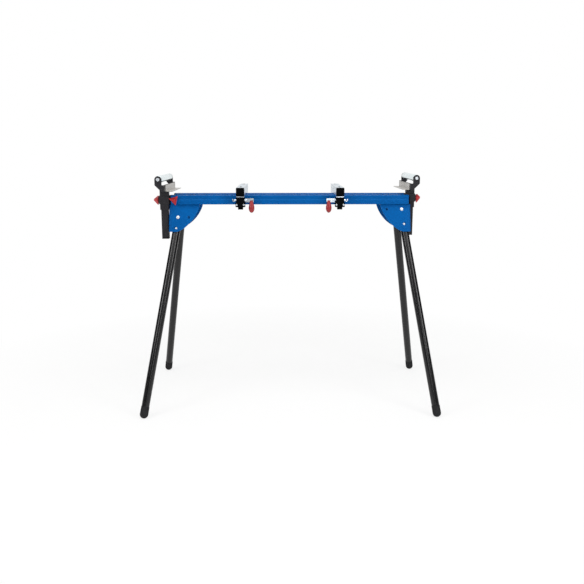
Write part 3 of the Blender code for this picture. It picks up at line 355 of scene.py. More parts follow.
def node_points(node: str) -> Array:
    """Every vertex of a CAD node at rest, as rows of an array."""
    return np.array([vertex.co for vertex in frame["nodes"][node].data.vertices])


def node_box(node: str) -> tuple[Array, Array]:
    """A CAD node's lowest and highest corner at rest."""
    low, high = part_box(node)
    return np.array(low), np.array(high)


@dataclass(frozen=True)
class Axes:
    """A place with two directions across it and one along it."""

    origin: Array
    across: Array
    up: Array
    along: Array

    @staticmethod
    def on(origin: Numbers, along: Numbers, hint: Numbers) -> "Axes":
        """Axes on a point, with the third along a direction and the first near a hint.

        Args:
            origin: the place.
            along: the third direction.
            hint: a direction that the first one follows as nearly as it can.
        Returns:
            The axes.
        """
        third = unit(along)
        first = unit(np.asarray(hint, float) - np.dot(hint, third) * third)
        return Axes(np.asarray(origin, float), first, np.cross(third, first), third)

    def place(self, u: Array, v: Array, w: Array) -> Array:
        """Points from their distances across, up and along, as a grid of the arrays' shape."""
        parts = ((u, self.across), (v, self.up), (w, self.along))
        return self.origin + sum(np.asarray(c)[..., None] * axis for c, axis in parts)


@dataclass(frozen=True)
class Surface:
    """Points and faces of one or more skins."""

    points: Array
    faces: list[Sequence[int]]

    def __add__(self, other: "Surface") -> "Surface":
        """Both surfaces as one, with the other's faces moved to its place in the points."""
        moved = [[i + len(self.points) for i in face] for face in other.faces]
        return Surface(np.vstack((self.points, other.points)), self.faces + moved)


def skin(points: Array, capped: bool = True) -> Surface:
    """Joins rings of points: quad (i, j) lies between rings i and i + 1 and points j and j + 1.

    Args:
        points: a grid of points, ring by ring; each ring closes on itself.
        capped: whether the first and last ring are filled.
    Returns:
        The skin.
    """
    rings, around, _ = points.shape
    i, j = np.meshgrid(np.arange(rings - 1), np.arange(around), indexing="ij")
    k = (j + 1) % around
    corners = (i * around + j, i * around + k, (i + 1) * around + k, (i + 1) * around + j)
    faces = np.stack(corners, -1).reshape(-1, 4).tolist()
    if capped:
        last = (rings - 1) * around
        faces += [range(around)[::-1], range(last, last + around)]
    return Surface(points.reshape(-1, 3), faces)


def turned(profile: Iterable[Numbers], axes: Axes, around: int = 48,
           closed: bool = False) -> Surface:
    """Turns a profile: point(t, a) = r(t) cos a across + r(t) sin a up + h(t) along.

    Args:
        profile: radius and height of each point.
        axes: where the profile turns, about the third axis.
        around: points round each ring.
        closed: whether the profile runs back to its start; the ends of another one are filled.
    Returns:
        The turned skin.
    """
    points = list(profile)
    radius, height = np.array(points + points[:1] if closed else points, float).T[..., None]
    angle = np.linspace(0.0, math.tau, around, endpoint=False)
    return skin(axes.place(radius * np.cos(angle), radius * np.sin(angle), height), not closed)


def stacked(rings: Sequence[Array], places: Numbers, axes: Axes,
            capped: bool = True) -> Surface:
    """Joins outlines along an axis: point(i, j) is point j of outline i, at place i along."""
    u, v = np.moveaxis(np.stack(rings), -1, 0)
    return skin(axes.place(u, v, np.asarray(places, float)[:, None]), capped)


def rounded(wide: float, tall: float, corner: float, steps: int = 6) -> Array:
    """A rectangle about its own centre with round corners.

    Args:
        wide: size across.
        tall: size up.
        corner: radius of the corners.
        steps: steps round each corner.
    Returns:
        The outline's points.
    """
    turn = quarter(steps)
    parts = []
    for i, (u, v) in enumerate(((1, 1), (-1, 1), (-1, -1), (1, -1))):
        angle = turn + i * QUARTER
        parts.append(np.stack((u * (wide / 2 - corner) + corner * np.cos(angle),
                               v * (tall / 2 - corner) + corner * np.sin(angle)), -1))
    return np.vstack(parts)


def bar(axes: Axes, wide: float, tall: float, corner: float, span: Numbers,
        edge: float, steps: int = 5) -> Surface:
    """A round-cornered section carried along and drawn in at both ends by a quarter circle.

    Args:
        axes: the section's centre and directions.
        wide: size across.
        tall: size up.
        corner: radius of the section's corners.
        span: start and end along the third axis.
        edge: radius of the rounding at the ends, less than the corner radius.
        steps: steps round that rounding.
    Returns:
        The bar's skin.
    """
    turn = quarter(steps)
    inset, run = edge * (1 - np.sin(turn)), edge * (1 - np.cos(turn))
    insets = np.concatenate((inset, inset[::-1]))
    places = np.concatenate((span[0] + run, span[1] - run[::-1]))
    rings = [rounded(wide - 2 * d, tall - 2 * d, corner - d) for d in insets]
    return stacked(rings, places, axes)


def fillet(outline: Sequence[Numbers], radii: Numbers, steps: int = 5) -> Array:
    """Rounds the corners of an outline with arcs that touch both sides.

    Args:
        outline: corner points.
        radii: a radius for each corner, or 0 for a sharp one.
        steps: steps round each arc.
    Returns:
        The rounded outline.
    """
    corners = np.asarray(outline, float)
    out = []
    for i, (corner, radius) in enumerate(zip(corners, radii)):
        if radius <= 0:
            out.append(corner[None])
            continue
        before = unit(corners[i - 1] - corner)
        after = unit(corners[(i + 1) % len(corners)] - corner)
        half = math.acos(float(np.clip(np.dot(before, after), -1, 1))) / 2
        centre = corner + unit(before + after) * radius / math.sin(half)
        reach = radius / math.tan(half)
        start, end = corner + before * reach - centre, corner + after * reach - centre
        share = np.linspace(0.0, 1.0, steps + 1)[:, None]
        sweep = math.pi - 2 * half
        arc = np.sin((1 - share) * sweep) * start + np.sin(share * sweep) * end
        out.append(centre + arc / math.sin(sweep))
    return np.vstack(out)


def hollow(outline: Array, bore: Numbers, axes: Axes, span: Numbers) -> Surface:
    """A tube: an outline carried along, and its points held inside a square bore carried back.

    Args:
        outline: points across and up.
        bore: half sizes of the bore.
        axes: the outline's frame.
        span: start and end along the third axis.
    Returns:
        The closed skin of the wall.
    """
    inner = np.clip(outline, np.negative(bore), bore)
    start, end = span
    rings = (outline, outline, inner, inner, outline)
    return stacked(rings, (start, end, end, start, start), axes, capped=False)


def settle(mesh: bpy.types.Mesh, flat: float = 0.0) -> None:
    """Welds a mesh, turns its faces outwards and shades it smooth up to crisp edges.

    Args:
        mesh: the mesh to finish.
        flat: faces that meet at less than this angle are joined, where it is above 0.
    """
    work = bmesh.new()
    work.from_mesh(mesh)
    bmesh.ops.remove_doubles(work, verts=work.verts, dist=WELD_GAP)
    if flat > 0:
        bmesh.ops.dissolve_limit(work, angle_limit=flat, verts=work.verts, edges=work.edges)
    bmesh.ops.recalc_face_normals(work, faces=work.faces)
    work.to_mesh(mesh)
    work.free()
    mesh.shade_smooth()
    mesh.set_sharp_from_angle(angle=CRISP)


def piece(name: str, shape: Surface | bpy.types.Mesh, finish: Finish, nodes: Sequence[str] = (),
          body: str | None = None) -> bpy.types.Object:
    """Makes a finished piece: links it, paints it and ties it to the CAD.

    Args:
        name: the piece's name.
        shape: a parametric surface, or a mesh that is settled already.
        finish: what it is painted or plated with.
        nodes: the CAD nodes that it stands for.
        body: the CAD body that carries it, where it stands for no node.
    Returns:
        The piece.
    """
    mesh = shape
    if isinstance(shape, Surface):
        mesh = bpy.data.meshes.new(name)
        mesh.from_pydata(shape.points.tolist(), [], shape.faces)
        settle(mesh)
    thing = bpy.data.objects.new(name, mesh)
    bpy.context.scene.collection.objects.link(thing)
    mesh.materials.clear()
    mesh.materials.append(finish.material())
    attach(thing, body or BODY_OF[nodes[0]])
    if nodes:
        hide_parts(*nodes)
    LOG.info("%s: %d faces, %s", name, len(mesh.polygons), finish.name)
    return thing


def copied(node: str, finish: Finish, edge_mm: float, segments: int = 3) -> None:
    """A finished piece from a merged copy of a CAD node, with its edges rounded.

    Args:
        node: the CAD node's name.
        finish: what it is painted or plated with.
        edge_mm: radius of the rounded edges.
        segments: steps round an edge.
    """
    mesh = frame["nodes"][node].data.copy()
    mesh.name = node + "_skin"
    settle(mesh, FLAT)
    edge = piece(node + "_skin", mesh, finish, [node]).modifiers.new("rounded edges", "BEVEL")
    edge.width = edge_mm / MM_PER_M
    edge.segments = segments
    edge.limit_method = "ANGLE"
    edge.angle_limit = ROUND_FROM
    edge.use_clamp_overlap = True
    edge.harden_normals = True


@dataclass(frozen=True)
class Boss:
    """A collar that takes a knob's stud; foot is how far it stands out, and at what height."""

    tall: float
    sunk: float
    foot: Pairs
    radius: float = 0.009
    hole: float = 0.0043
    rim: float = 0.0006

    def surface(self, joint: dict) -> Surface:
        """The collar's profile, turned on a knob's joint.

        Args:
            joint: the knob's joint, which lies on the face that carries the boss.
        Returns:
            The collar.
        """
        foot = [(self.radius + out, up) for out, up in self.foot]
        profile = [(self.hole, -self.sunk), (foot[0][0], -self.sunk), *foot,
                   (self.radius, self.tall - self.rim), (self.radius - self.rim, self.tall),
                   (self.hole, self.tall)]
        axes = Axes.on(joint["pos_m"], joint["axis"], Z)
        return turned(profile, axes, around=40, closed=True)


@dataclass
class Rails:
    """Two grooved box tubes with welded bosses, a guide bush in one end and a plug in the other."""

    wall: float = 0.002
    corner: float = 0.0022
    groove_wide: float = 0.014
    groove_deep: float = 0.0018
    groove_sill: float = 0.0038
    groove_rise: float = 0.0053
    groove_edge: float = 0.0003
    boss_tall: float = 0.004
    weld: float = 0.0018
    weld_shape: Pairs = ((1.0, 1 / 3), (1 / 3, 0.8), (0.0, 1.3))
    end_edge_mm: float = 0.6

    def section(self, deep: float, tall: float) -> Array:
        """Outline with a rolled V groove, steeper below, on the side of negative first coordinate.

        Args:
            deep: size across.
            tall: size up.
        Returns:
            The outline about the tube's centre.
        """
        d, t, half = deep / 2, tall / 2, self.groove_wide / 2
        low, high = self.groove_rise - half, self.groove_rise + half
        outline = [(-d, low), (self.groove_deep - d, low + self.groove_sill), (-d, high),
                   (-d, t), (d, t), (d, -t), (-d, -t)]
        return fillet(outline, [self.groove_edge] * 3 + [self.corner] * 4)

    def build(self) -> None:
        """Builds both rails, each with a weld bead round its boss, and their end pieces."""
        sunk = (self.groove_deep + self.wall) / 2
        bead = [(self.weld * out, self.weld * up) for out, up in self.weld_shape]
        boss = Boss(self.boss_tall, sunk, bead)
        for node, side, flip in (("front_rail", Side.LEFT, 1.0), ("rear_rail", Side.RIGHT, -1.0)):
            low, high = node_box(node)
            joint = JOINTS[f"{side.word}_arm_knob_turn"]
            deep = high[1] - low[1] - self.boss_tall
            tall = high[2] - low[2]
            middle = (0.0, joint["pos_m"][1] + flip * deep / 2, (low[2] + high[2]) / 2)
            axes = Axes.on(middle, flip * X, flip * Y)
            bore = (deep / 2 - self.wall, tall / 2 - self.wall)
            tube = hollow(self.section(deep, tall), bore, axes, (low[0], high[0]))
            piece(node + "_skin", tube + boss.surface(joint), BLUE_COAT, [node])
        for node in ("left_guide_bush", "right_guide_bush", "front_rail_plug", "rear_rail_plug"):
            copied(node, BLACK_MOULDED, self.end_edge_mm)


@dataclass
class Brackets:
    """The folded sheet brackets that carry the legs."""

    edge_mm: float = 0.7

    def build(self) -> None:
        """Builds both brackets."""
        for side in Side:
            copied(f"{side.word}_bracket", BLUE_COAT, self.edge_mm)


@dataclass
class Knob:
    """A three-cornered clamping knob on a stud; seat is its height above the joint."""

    node: str
    seat: float
    stud: float
    hint: Numbers
    radius: float = 0.0225
    waist: float = 0.0105
    phase: float = math.radians(45.0)
    blunt: float = math.radians(5.0)
    hub: float = 0.0075
    hub_tall: float = 0.0015
    hub_edge: float = 0.0004
    skirt: float = 0.004
    taper: float = 0.014
    crown: float = 0.17
    soften: float = 0.0012
    stud_radius: float = 0.004
    stud_nose: float = 0.0006
    stud_sunk: float = 0.001

    def grip(self, axes: Axes, around: int = 96) -> Surface:
        """A three-sided pyramid with blunt corners, drawn in to its crown by a filleted profile.

        Its radius at angle a is the waist over the cosine of the turn from the middle of a side.

        Args:
            axes: the seat on the boss, outwards along the third axis.
            around: points round each ring.
        Returns:
            The grip.
        """
        base, brim = self.hub_tall, self.hub_tall + self.skirt
        top = brim + self.taper
        full, tip = self.radius, self.crown * self.radius
        outline = [(0, base), (full, base), (full, brim), (tip, top), (0, top)]
        profile = fillet(outline, [0, self.soften, self.soften, 2 * self.soften, 0])
        angle = np.linspace(0.0, math.tau, around, endpoint=False)
        sixth = math.tau / 6
        off = np.abs((angle - self.phase) % (2 * sixth) - sixth)
        stretch = math.acos(self.waist / self.radius) / sixth
        blunted = sixth - self.blunt / 2 - (off - sixth) ** 2 / (2 * self.blunt)
        lobes = self.waist / np.cos(stretch * np.where(off > sixth - self.blunt, blunted, off))
        ring = profile[:, :1] * lobes / self.radius
        return skin(axes.place(ring * np.cos(angle), ring * np.sin(angle), profile[:, 1:]))

    def build(self) -> None:
        """Builds the moulded grip with its hub, and the steel stud in it."""
        joint = JOINTS[self.node + "_turn"]
        along = np.array(joint["axis"], float)
        axes = Axes.on(np.array(joint["pos_m"]) + along * self.seat, along, self.hint)
        brim, edge = self.hub_tall + self.skirt / 2, self.hub_edge
        hub = [(0, 0), (self.hub - edge, 0), (self.hub, edge), (self.hub, brim), (0, brim)]
        piece(self.node + "_skin", self.grip(axes) + turned(hub, axes), RED_NYLON, [self.node])
        stem, nose = self.stud_radius, self.stud_nose
        stud = [(0, -self.stud), (stem - nose, -self.stud), (stem, nose - self.stud),
                (stem, self.stud_sunk), (0, self.stud_sunk)]
        steel = turned(stud, axes, around=24)
        piece(self.node + "_stud", steel, ZINC_BARREL, (), BODY_OF[self.node])


@dataclass
class Assembly:
    """Pieces whose CAD names start with the same words."""

    at: Place

    def node(self, name: str) -> str:
        """The full CAD name of one of the pieces."""
        return f"{self.at.word}_{name}"

    def cover(self, name: str, surface: Surface, finish: Finish) -> None:
        """Makes the piece that stands for one of the CAD nodes."""
        node = self.node(name)
        piece(node + "_skin", surface, finish, [node])


@dataclass
class SupportArm(Assembly):
    """A sliding arm with its sleeve, post, roller head and two knobs."""

    tube: float = 0.025
    tube_room: float = 0.001
    wall: float = 0.0015
    corner: float = 0.002
    collar: float = 0.034
    block: float = 0.042
    bore: float = 0.0306
    cast_corner: float = 0.0037
    cast_rim: float = 0.0008
    cast_waist: float = 0.002
    cast_swell: float = 0.0015
    boss_tall: float = 0.002
    boss_sunk: float = 0.002
    boss_foot: Pairs = ((0.0012, 0.0), (0.0003, 0.0004), (0.0, 0.001))
    stop_sheet: float = 0.0025
    stop_bend: float = 0.004
    stop_tip: float = 0.001125
    roller_edge: float = 0.0018
    axle_radius: float = 0.004
    axle_head: float = 0.003
    axle_dome: float = 0.0009
    arm_stud: float = 0.0085
    post_stud: float = 0.0095
    frame_edge_mm: float = 0.5
    liner_edge_mm: float = 0.6

    def square_tube(self, name: str, along: Array) -> None:
        """A painted square tube that fills a CAD node's box.

        Args:
            name: the node's name without its side.
            along: the tube's direction, X or Z.
        """
        low, high = node_box(self.node(name))
        axes = Axes.on((low + high) / 2, along, Y)
        half, size = (high - low) @ along / 2, (high - low)[1]
        bore = size / 2 - self.wall
        section = rounded(size, size, self.corner)
        self.cover(name, hollow(section, (bore, bore), axes, (-half, half)), SATIN_COAT)

    def sleeve(self) -> None:
        """Cast sleeve: rounded squares whose half size follows a filleted profile up the post."""
        low, high = (corner[2] for corner in node_box(self.node("sleeve")))
        rail_low, rail_high = (corner[2] for corner in node_box("front_rail"))
        centre = np.array(JOINTS[self.node("post_lift")]["pos_m"]) * (1, 1, 0)
        middle, step = (rail_low + rail_high) / 2, (self.tube + self.tube_room) / 2
        slim, wide = self.collar / 2, self.block / 2
        outline = [(0, low), (slim, low), (slim, rail_low), (wide, middle - step),
                   (wide, middle + step), (slim, rail_high), (slim, high), (0, high)]
        radii = [0, self.cast_rim, self.cast_waist, self.cast_swell]
        profile = fillet(outline, radii + radii[::-1])[1:-1]
        rings = [rounded(2 * half, 2 * half, self.cast_corner) for half in profile[:, 0]]
        hole = np.clip(rings[0], -self.bore / 2, self.bore / 2)
        heights = profile[:, 1].tolist()
        heights += [heights[-1], heights[0], heights[0]]
        cast = stacked(rings + [hole, hole, rings[0]], heights, Axes.on(centre, Z, X), capped=False)
        boss = Boss(self.boss_tall, self.boss_sunk, self.boss_foot)
        collar = boss.surface(JOINTS[self.node("post_knob_turn")])
        self.cover("sleeve", cast + collar, SATIN_COAT)

    def stop(self) -> None:
        """Zinc angle: an L with a bent corner carried along the roller."""
        low, high = node_box(self.node("stop_plate"))
        sign = self.at.value
        back = low[0] if sign < 0 else high[0]
        axes = Axes(np.array((back, 0, low[2])), -sign * X, Z, Y)
        reach, tall, sheet = high[0] - low[0], high[2] - low[2], self.stop_sheet
        outline = [(0, 0), (reach, 0), (reach, sheet), (sheet, sheet), (sheet, tall), (0, tall)]
        bend, tip = self.stop_bend, self.stop_tip
        section = fillet(outline, [bend, tip, tip, bend - sheet, tip, tip])
        plate = stacked((section, section), (low[1], high[1]), axes)
        self.cover("stop_plate", plate, ZINC_SHEET)

    def roller(self) -> None:
        """Bright roller with rolled-in ends, and its riveted axle."""
        axes = Axes.on(JOINTS[self.node("roller_spin")]["pos_m"], Y, Z)
        low, high = node_box(self.node("roller"))
        _, half, radius = (high - low) / 2
        pin, edge = self.axle_radius, self.roller_edge
        bore = pin + PLAY
        outline = [(bore, -half), (radius, -half), (radius, half), (bore, half)]
        tube = turned(fillet(outline, [0, edge, edge, 0]), axes, around=64, closed=True)
        self.cover("roller", tube, BRIGHT_TUBE)
        low, high = node_box(self.node("axle"))
        _, end, head = (high - low) / 2
        seat, dome = end - self.axle_head, self.axle_dome
        outline = [(0, -end), (head, -end), (head, -seat), (pin, -seat), (pin, seat), (head, seat),
                   (head, end), (0, end)]
        profile = fillet(outline, [0, dome, 0, 0, 0, 0, dome, 0])
        self.cover("axle", turned(profile, axes, around=32), ZINC_BARREL)

    def build(self) -> None:
        """Builds every piece of the arm."""
        self.square_tube("arm_tube", X)
        self.square_tube("post", Z)
        self.sleeve()
        self.stop()
        self.roller()
        copied(self.node("head_frame"), SATIN_COAT, self.frame_edge_mm)
        for name in ("arm_slider", "post_bush", "post_plug"):
            copied(self.node(name), BLACK_MOULDED, self.liner_edge_mm)
        for name, boss, stud, hint in (
            ("arm_knob", Rails.boss_tall, self.arm_stud, -self.at.value * X),
            ("post_knob", self.boss_tall, self.post_stud, Z),
        ):
            Knob(self.node(name), boss + PLAY, stud, hint).build()


@dataclass
class ToolClamp(Assembly):
    """A zinc tool rail with its cap, clamp body, screws, hook, lever and red grip."""

    rail_edge_mm: float = 0.5
    body_edge_mm: float = 0.9
    hook_edge_mm: float = 0.5
    lever_edge_mm: float = 0.4
    thin_segments: int = 2
    cap_edge: float = 0.0016
    cap_corner: float = 0.0042
    cap_thick: float = 0.006
    plug_inset: float = 0.0035
    plug_corner: float = 0.001
    plug_edge: float = 0.0005
    screw_radius: float = 0.0034
    screw_tall: float = 0.002
    screw_apart: float = 0.0276
    screw_rise: float = 0.0186
    screw_round: float = 0.0012
    socket_radius: float = 0.001224
    socket_foot: float = 0.00102
    socket_floor: float = 0.0007
    socket_edge: float = 0.0002
    neck: float = 0.0062
    neck_rim: Pairs = ((0.0008, 0.0), (0.0002, 0.0004))
    belly: float = 0.0112
    belly_drop: float = 0.03
    swell_steps: int = 15
    tip_steps: int = 11

    def cap(self) -> None:
        """Moulded cap: a pillowed plate with a plug behind it."""
        low, high = node_box(self.node("front_cap"))
        wide, long, tall = high - low
        centre = (low + high) / 2
        axes = Axes.on((centre[0], low[1], centre[2]), Y, X)
        plate = bar(axes, wide, tall, self.cap_corner, (0, self.cap_thick), self.cap_edge)
        inset, span = 2 * self.plug_inset, (self.cap_thick / 2, long)
        plug = bar(axes, wide - inset, tall - inset, self.plug_corner, span, self.plug_edge)
        self.cover("front_cap", plate + plug, BLACK_MOULDED)

    def screws(self) -> None:
        """Two pan-headed screws in the clamp body's lower ears."""
        low, high = node_box(self.node("clamp_body"))
        r, h, floor = self.screw_radius, self.screw_tall, self.socket_floor
        outline = [(0, -h), (r, -h), (r, h), (self.socket_radius, h), (self.socket_foot, floor),
                   (0, floor)]
        head = fillet(outline, [0, 0, self.screw_round, self.socket_edge, 0, 0])
        heads = []
        for step in (-0.5, 0.5):
            across = (low[0] + high[0]) / 2 + step * self.screw_apart
            axes = Axes.on((across, low[1], low[2] + self.screw_rise), -Y, X)
            heads.append(turned(head, axes, around=32))
        both = heads[0] + heads[1]
        piece(self.node("clamp_screws"), both, ZINC_BARREL, (), self.node("clamp"))

    def grip(self) -> None:
        """Teardrop grip: the radius swells to the belly by a cosine and closes by an ellipse."""
        low, high = node_box(self.node("handle"))
        centre = (low + high) / 2
        axes = Axes.on((centre[0], centre[1], high[2]), -Z, X)
        sole, tip = self.belly_drop, high[2] - low[2] - self.belly_drop
        share = np.linspace(0.0, 1.0, self.swell_steps + 1)[1:]
        swell = self.neck + (self.belly - self.neck) * (1 - np.cos(math.pi * share)) / 2
        turn = quarter(self.tip_steps)[1:]
        profile = [(0, 0), *((self.neck - inset, down) for inset, down in self.neck_rim)]
        profile += list(zip(swell, sole * share))
        profile += list(zip(self.belly * np.cos(turn), sole + tip * np.sin(turn)))
        self.cover("handle", turned(profile, axes, around=40), RED_MOULDED)

    def build(self) -> None:
        """Builds every piece of the clamp."""
        copied(self.node("tool_rail"), ZINC_PLATE, self.rail_edge_mm, self.thin_segments)
        copied(self.node("clamp_body"), BLACK_MOULDED, self.body_edge_mm)
        copied(self.node("rear_hook"), ZINC_PLATE, self.hook_edge_mm)
        copied(self.node("lever"), ZINC_PLATE, self.lever_edge_mm, self.thin_segments)
        self.cap()
        self.screws()
        self.grip()


@dataclass
class FoldingLeg(Assembly):
    """A round leg with its rubber foot, sprung lock button and pivot bolt."""

    radius: float = 0.015
    wall: float = 0.0015
    edge: float = 0.0005
    foot_radius: float = 0.016
    foot_edge: float = 0.0006
    sole_steps: int = 13
    ribs: int = 3
    rib_steps: int = 8
    rib_deep: float = 0.0007
    rib_half: float = 0.0012
    rib_pitch: float = 0.0055
    rib_start: float = 0.0044
    button_radius: float = 0.005
    button_dome: float = 0.0014
    flange_radius: float = 0.0066
    flange_tall: float = 0.002
    flange_edge: float = 0.0003
    bolt_radius: float = 0.004
    head_radius: float = 0.007
    head_tall: float = 0.0035
    head_steps: int = 8
    nut_radius: float = 0.0072
    nut_tall: float = 0.006
    nut_chamfer: float = 0.0009

    @cached_property
    def axes(self) -> Axes:
        """Axes on the pivot with the third down the leg to the foot's sole.

        Returns:
            The leg's axes.
        """
        pivot = np.array(JOINTS[self.node("fold")]["pos_m"])
        foot = node_points(self.node("foot"))
        rough = foot.mean(0) - pivot
        sole = foot[np.argmax((foot - pivot) @ rough)]
        return Axes.on(pivot, sole - pivot, JOINTS[self.node("press")]["axis"])

    def reach(self, name: str, axes: Axes) -> tuple[float, float]:
        """Where a CAD node, named without the leg's own words, starts and ends along the axes."""
        along = (node_points(self.node(name)) - axes.origin) @ axes.along
        return float(along.min()), float(along.max())

    def tube(self) -> None:
        """Leg tube with a wall and softly broken ends."""
        start, end = self.reach("leg", self.axes)
        outer, inner = self.radius, self.radius - self.wall
        outline = [(inner, start), (outer, start), (outer, end), (inner, end)]
        profile = fillet(outline, [0, self.edge, self.edge, 0])
        self.cover("leg", turned(profile, self.axes, around=64, closed=True), BLACK_COAT)

    def foot(self) -> None:
        """Rubber foot: a collar with cosine ribs that runs into a round sole, and its plug."""
        start, end = self.reach("foot", self.axes)
        collar = self.reach("leg", self.axes)[1] + 2 * PLAY
        big, plug = self.foot_radius, self.radius - self.wall - PLAY
        profile = [(0, start), (plug, start), (plug, collar), (big - self.foot_edge, collar),
                   (big, collar + self.foot_edge)]
        wave = np.linspace(0.0, math.tau, self.rib_steps + 1)
        dip = self.rib_deep * (1 - np.cos(wave)) / 2
        for i in range(self.ribs):
            middle = collar + self.rib_start + i * self.rib_pitch
            profile += list(zip(big - dip, middle + (wave / math.pi - 1) * self.rib_half))
        turn = quarter(self.sole_steps)
        profile += list(zip(big * np.cos(turn), end - big + big * np.sin(turn)))
        self.cover("foot", turned(profile, self.axes, around=56), BLACK_RUBBER)

    def button(self) -> None:
        """Sprung pin with a domed nose and a flange that stays in the tube."""
        joint = JOINTS[self.node("press")]
        axes = Axes.on(joint["pos_m"], joint["axis"], X)
        back, nose = self.reach("lock_button", axes)
        shoulder, edge = back + self.flange_tall, self.flange_edge
        outline = [(0, back), (self.flange_radius, back), (self.flange_radius, shoulder),
                   (self.button_radius, shoulder), (self.button_radius, nose), (0, nose)]
        profile = fillet(outline, [0, edge, edge, 0, self.button_dome, 0])
        self.cover("lock_button", turned(profile, axes, around=32), ZINC_BARREL)

    def bolt(self) -> None:
        """Domed bolt through the cheek and the leg, with a six-sided nut on its inner end."""
        pivot = JOINTS[self.node("fold")]["pos_m"]
        axes = Axes.on(pivot, JOINTS[self.node("press")]["axis"], X)
        inner, outer = self.reach("pivot_bolt", axes)
        seat, tip, top = outer - self.head_tall, inner + self.nut_tall / 2, inner + self.nut_tall
        turn = quarter(self.head_steps)
        dome = list(zip(self.head_radius * np.cos(turn), seat + self.head_tall * np.sin(turn)))
        shank = [(0, tip), (self.bolt_radius, tip), (self.bolt_radius, seat),
                 (self.head_radius, seat)]
        flat, chamfer = self.nut_radius, self.nut_chamfer
        nut = [(0, inner), (flat - chamfer, inner), (flat, inner + chamfer / 2), (flat, top),
               (0, top)]
        whole = turned(shank + dome, axes, around=40) + turned(nut, axes, around=6)
        self.cover("pivot_bolt", whole, ZINC_BARREL)

    def build(self) -> None:
        """Builds every piece of the leg."""
        self.tube()
        self.foot()
        self.button()
        self.bolt()


class Softbox(Enum):
    """Studio lights: place, aim, size across and up, power in watts."""

    KEY = ((2.2, -2.2, 1.75), (0.0, 0.0, 0.6), (0.9, 1.5), 30.0)
    FILL = ((-2.3, -2.0, 1.75), (0.0, 0.0, 0.6), (0.9, 1.5), 27.0)
    FRONT = ((0.2, -3.6, 3.2), (0.0, 0.0, 0.6), (1.8, 1.2), 9.0)
    LOW = ((0.45, -3.4, 1.0), (0.0, 0.0, 0.5), (0.7, 0.8), 10.0)
    TOP = ((0.0, -0.8, 3.2), (0.0, 0.0, 0.8), (2.4, 1.2), 36.0)


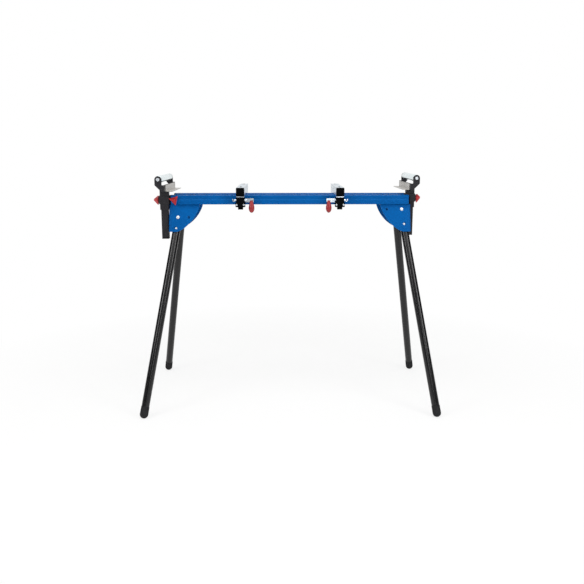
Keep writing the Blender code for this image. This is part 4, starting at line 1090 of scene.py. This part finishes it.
@dataclass
class Studio:
    """A pale floor that sweeps up behind the stand, soft lights, a black card and the camera."""

    half_wide: float = 7.0
    front: float = -5.0
    bend_start: float = 2.6
    bend_radius: float = 1.4
    bend_steps: int = 24
    wall_top: float = 4.0
    floor_columns: int = 15
    paper: str = "#F9F9F7"
    paper_roughness: float = 0.9
    paper_specular: float = 0.1
    mottle_mm: float = 400.0
    glow: str = "#FFFFFF"
    near_share: float = 0.78
    fade_start: float = 0.8
    fade_end: float = 1.7
    ambient: float = 0.42
    card: str = "#1A1A1A"
    card_radius: float = 4.4
    card_span: tuple[float, float] = (0.05, 3.0)
    card_turn: float = math.radians(150.0)
    card_steps: int = 32
    camera_place: tuple[float, float, float] = (-0.031, -2.828, 1.0146)
    camera_tilt: float = math.radians(90.0 - 11.68)
    camera_turn: float = math.radians(-0.80)
    lens_mm: float = 43.08
    sensor_mm: float = 36.0

    def seen(self, tree: Tree) -> Any:
        """Tells the rays of the eye, mirrored and refracted ones too, from those that carry light.

        Args:
            tree: the node tree of a material or the world.
        Returns:
            An output that is 1 for a ray of the eye.
        """
        path = tree.nodes.new("ShaderNodeLightPath").outputs
        either = path["Is Camera Ray"]
        for name in ("Is Glossy Ray", "Is Transmission Ray"):
            inputs = {0: either, 1: path[name]}
            either = add_node(tree, "Math", "Value", inputs, operation="MAXIMUM")
        return either

    def paper_material(self) -> bpy.types.Material:
        """Seamless white paper: faintly mottled, and overexposed to the eye, more so further away.

        Returns:
            The floor's material.
        """
        material = bpy.data.materials.new("paper_seamless_white")
        material.use_nodes = True
        tree = material.node_tree
        shader = tree.nodes["Principled BSDF"]
        place = add_node(tree, "TexCoord", "Object", {})
        scale = {"Vector": place, "Scale": MM_PER_M / self.mottle_mm}
        mottle = add_node(tree, "TexNoise", "Fac", scale)
        tone = blended(tree, mottle, linear(self.paper), linear(self.glow))
        feed(tree, shader, {"Base Color": tone, "Roughness": self.paper_roughness,
                            "Specular IOR Level": self.paper_specular})
        far = add_node(tree, "VectorMath", "Value", {0: place}, operation="LENGTH")
        fade = spanned(tree, far, self.fade_start, self.fade_end, self.near_share, 1.0)
        both = {0: self.seen(tree), 1: fade}
        share = add_node(tree, "Math", "Value", both, operation="MULTIPLY")
        light = {"Color": linear(self.glow), "Strength": 1.0}
        glow = add_node(tree, "Emission", "Emission", light)
        ends = {0: share, 1: shader.outputs["BSDF"], 2: glow}
        mixed = add_node(tree, "MixShader", "Shader", ends)
        feed(tree, tree.nodes["Material Output"], {"Surface": mixed})
        return material

    def sheet(self, name: str, points: Array, material: bpy.types.Material) -> bpy.types.Object:
        """Puts up an open grid: quad (i, j) lies between rows i and i + 1 and columns j and j + 1.

        Args:
            name: the sheet's name.
            points: the grid's points, row by row.
            material: what the sheet is made of.
        Returns:
            The sheet, which is no part of the stand.
        """
        rows, columns, _ = points.shape
        i, j = np.meshgrid(np.arange(rows - 1), np.arange(columns - 1), indexing="ij")
        first = i * columns + j
        quads = np.stack((first, first + columns, first + columns + 1, first + 1), -1)
        mesh = bpy.data.meshes.new(name)
        mesh.from_pydata(points.reshape(-1, 3).tolist(), [], quads.reshape(-1, 4).tolist())
        mesh.shade_smooth()
        mesh.materials.append(material)
        thing = bpy.data.objects.new(name, mesh)
        bpy.context.scene.collection.objects.link(thing)
        return thing

    def floor(self) -> None:
        """Floor along X: a profile that runs back, bends up by a quarter circle and rises."""
        turn = quarter(self.bend_steps)
        bend = self.bend_start + self.bend_radius * np.sin(turn)
        back = np.concatenate(([self.front], bend, bend[-1:]))
        rise = np.concatenate(([0.0], self.bend_radius * (1 - np.cos(turn)), [self.wall_top]))
        across = np.linspace(-self.half_wide, self.half_wide, self.floor_columns)[:, None]
        points = np.stack(np.broadcast_arrays(across, back, rise), -1)
        self.sheet("studio_floor", points, self.paper_material())

    def flag(self) -> None:
        """Black card round the stand that only mirrored rays meet, so that gloss shows the lights.

        Point (a, h) is the radius times (sin a, -cos a), at height h.
        """
        angle = np.linspace(-self.card_turn, self.card_turn, self.card_steps + 1)[:, None]
        high = np.array(self.card_span)[None]
        x, y = self.card_radius * np.sin(angle), -self.card_radius * np.cos(angle)
        points = np.stack(np.broadcast_arrays(x, y, high), -1)
        material = bpy.data.materials.new("card_matt_black")
        material.use_nodes = True
        tree = material.node_tree
        feed(tree, tree.nodes["Principled BSDF"], {"Base Color": linear(self.card)})
        card = self.sheet("studio_card", points, material)
        card.visible_camera = card.visible_diffuse = card.visible_shadow = False

    def world(self) -> None:
        """Even studio surround that fills the shadows, and white to the eye."""
        scene = bpy.context.scene
        scene.world = bpy.data.worlds.new("studio_surround")
        scene.world.use_nodes = True
        tree = scene.world.node_tree
        strength = spanned(tree, self.seen(tree), 0.0, 1.0, self.ambient, 1.0)
        feed(tree, tree.nodes["Background"], {"Color": linear(self.glow), "Strength": strength})

    def lights(self) -> None:
        """Places every softbox."""
        for box in Softbox:
            place, aim, size, power = box.value
            name = f"softbox_{box.name.lower()}"
            lamp = bpy.data.lights.new(name, "AREA")
            lamp.shape = "RECTANGLE"
            lamp.size, lamp.size_y = size
            lamp.energy = power
            holder = bpy.data.objects.new(name, lamp)
            holder.location = place
            look = Vector(aim) - Vector(place)
            holder.rotation_euler = look.to_track_quat("-Z", "Y").to_euler()
            bpy.context.scene.collection.objects.link(holder)

    def camera(self) -> None:
        """The photograph's camera: a little above the rails, looking slightly down."""
        lens = bpy.data.cameras.new("photo_camera")
        lens.sensor_width = self.sensor_mm
        lens.lens = self.lens_mm
        holder = bpy.data.objects.new("photo_camera", lens)
        holder.location = self.camera_place
        holder.rotation_euler = (self.camera_tilt, 0.0, self.camera_turn)
        bpy.context.scene.collection.objects.link(holder)
        bpy.context.scene.camera = holder

    def build(self) -> None:
        """Builds the whole studio."""
        self.floor()
        self.flag()
        self.world()
        self.lights()
        self.camera()
        bpy.context.scene.view_settings.view_transform = "Standard"


def main() -> None:
    """Builds the stand's pieces and the studio round it."""
    Rails().build()
    Brackets().build()
    for side in Side:
        SupportArm(side).build()
        ToolClamp(side).build()
    for leg in Leg:
        FoldingLeg(leg).build()
    Studio().build()


if __name__ == "__main__":
    main()
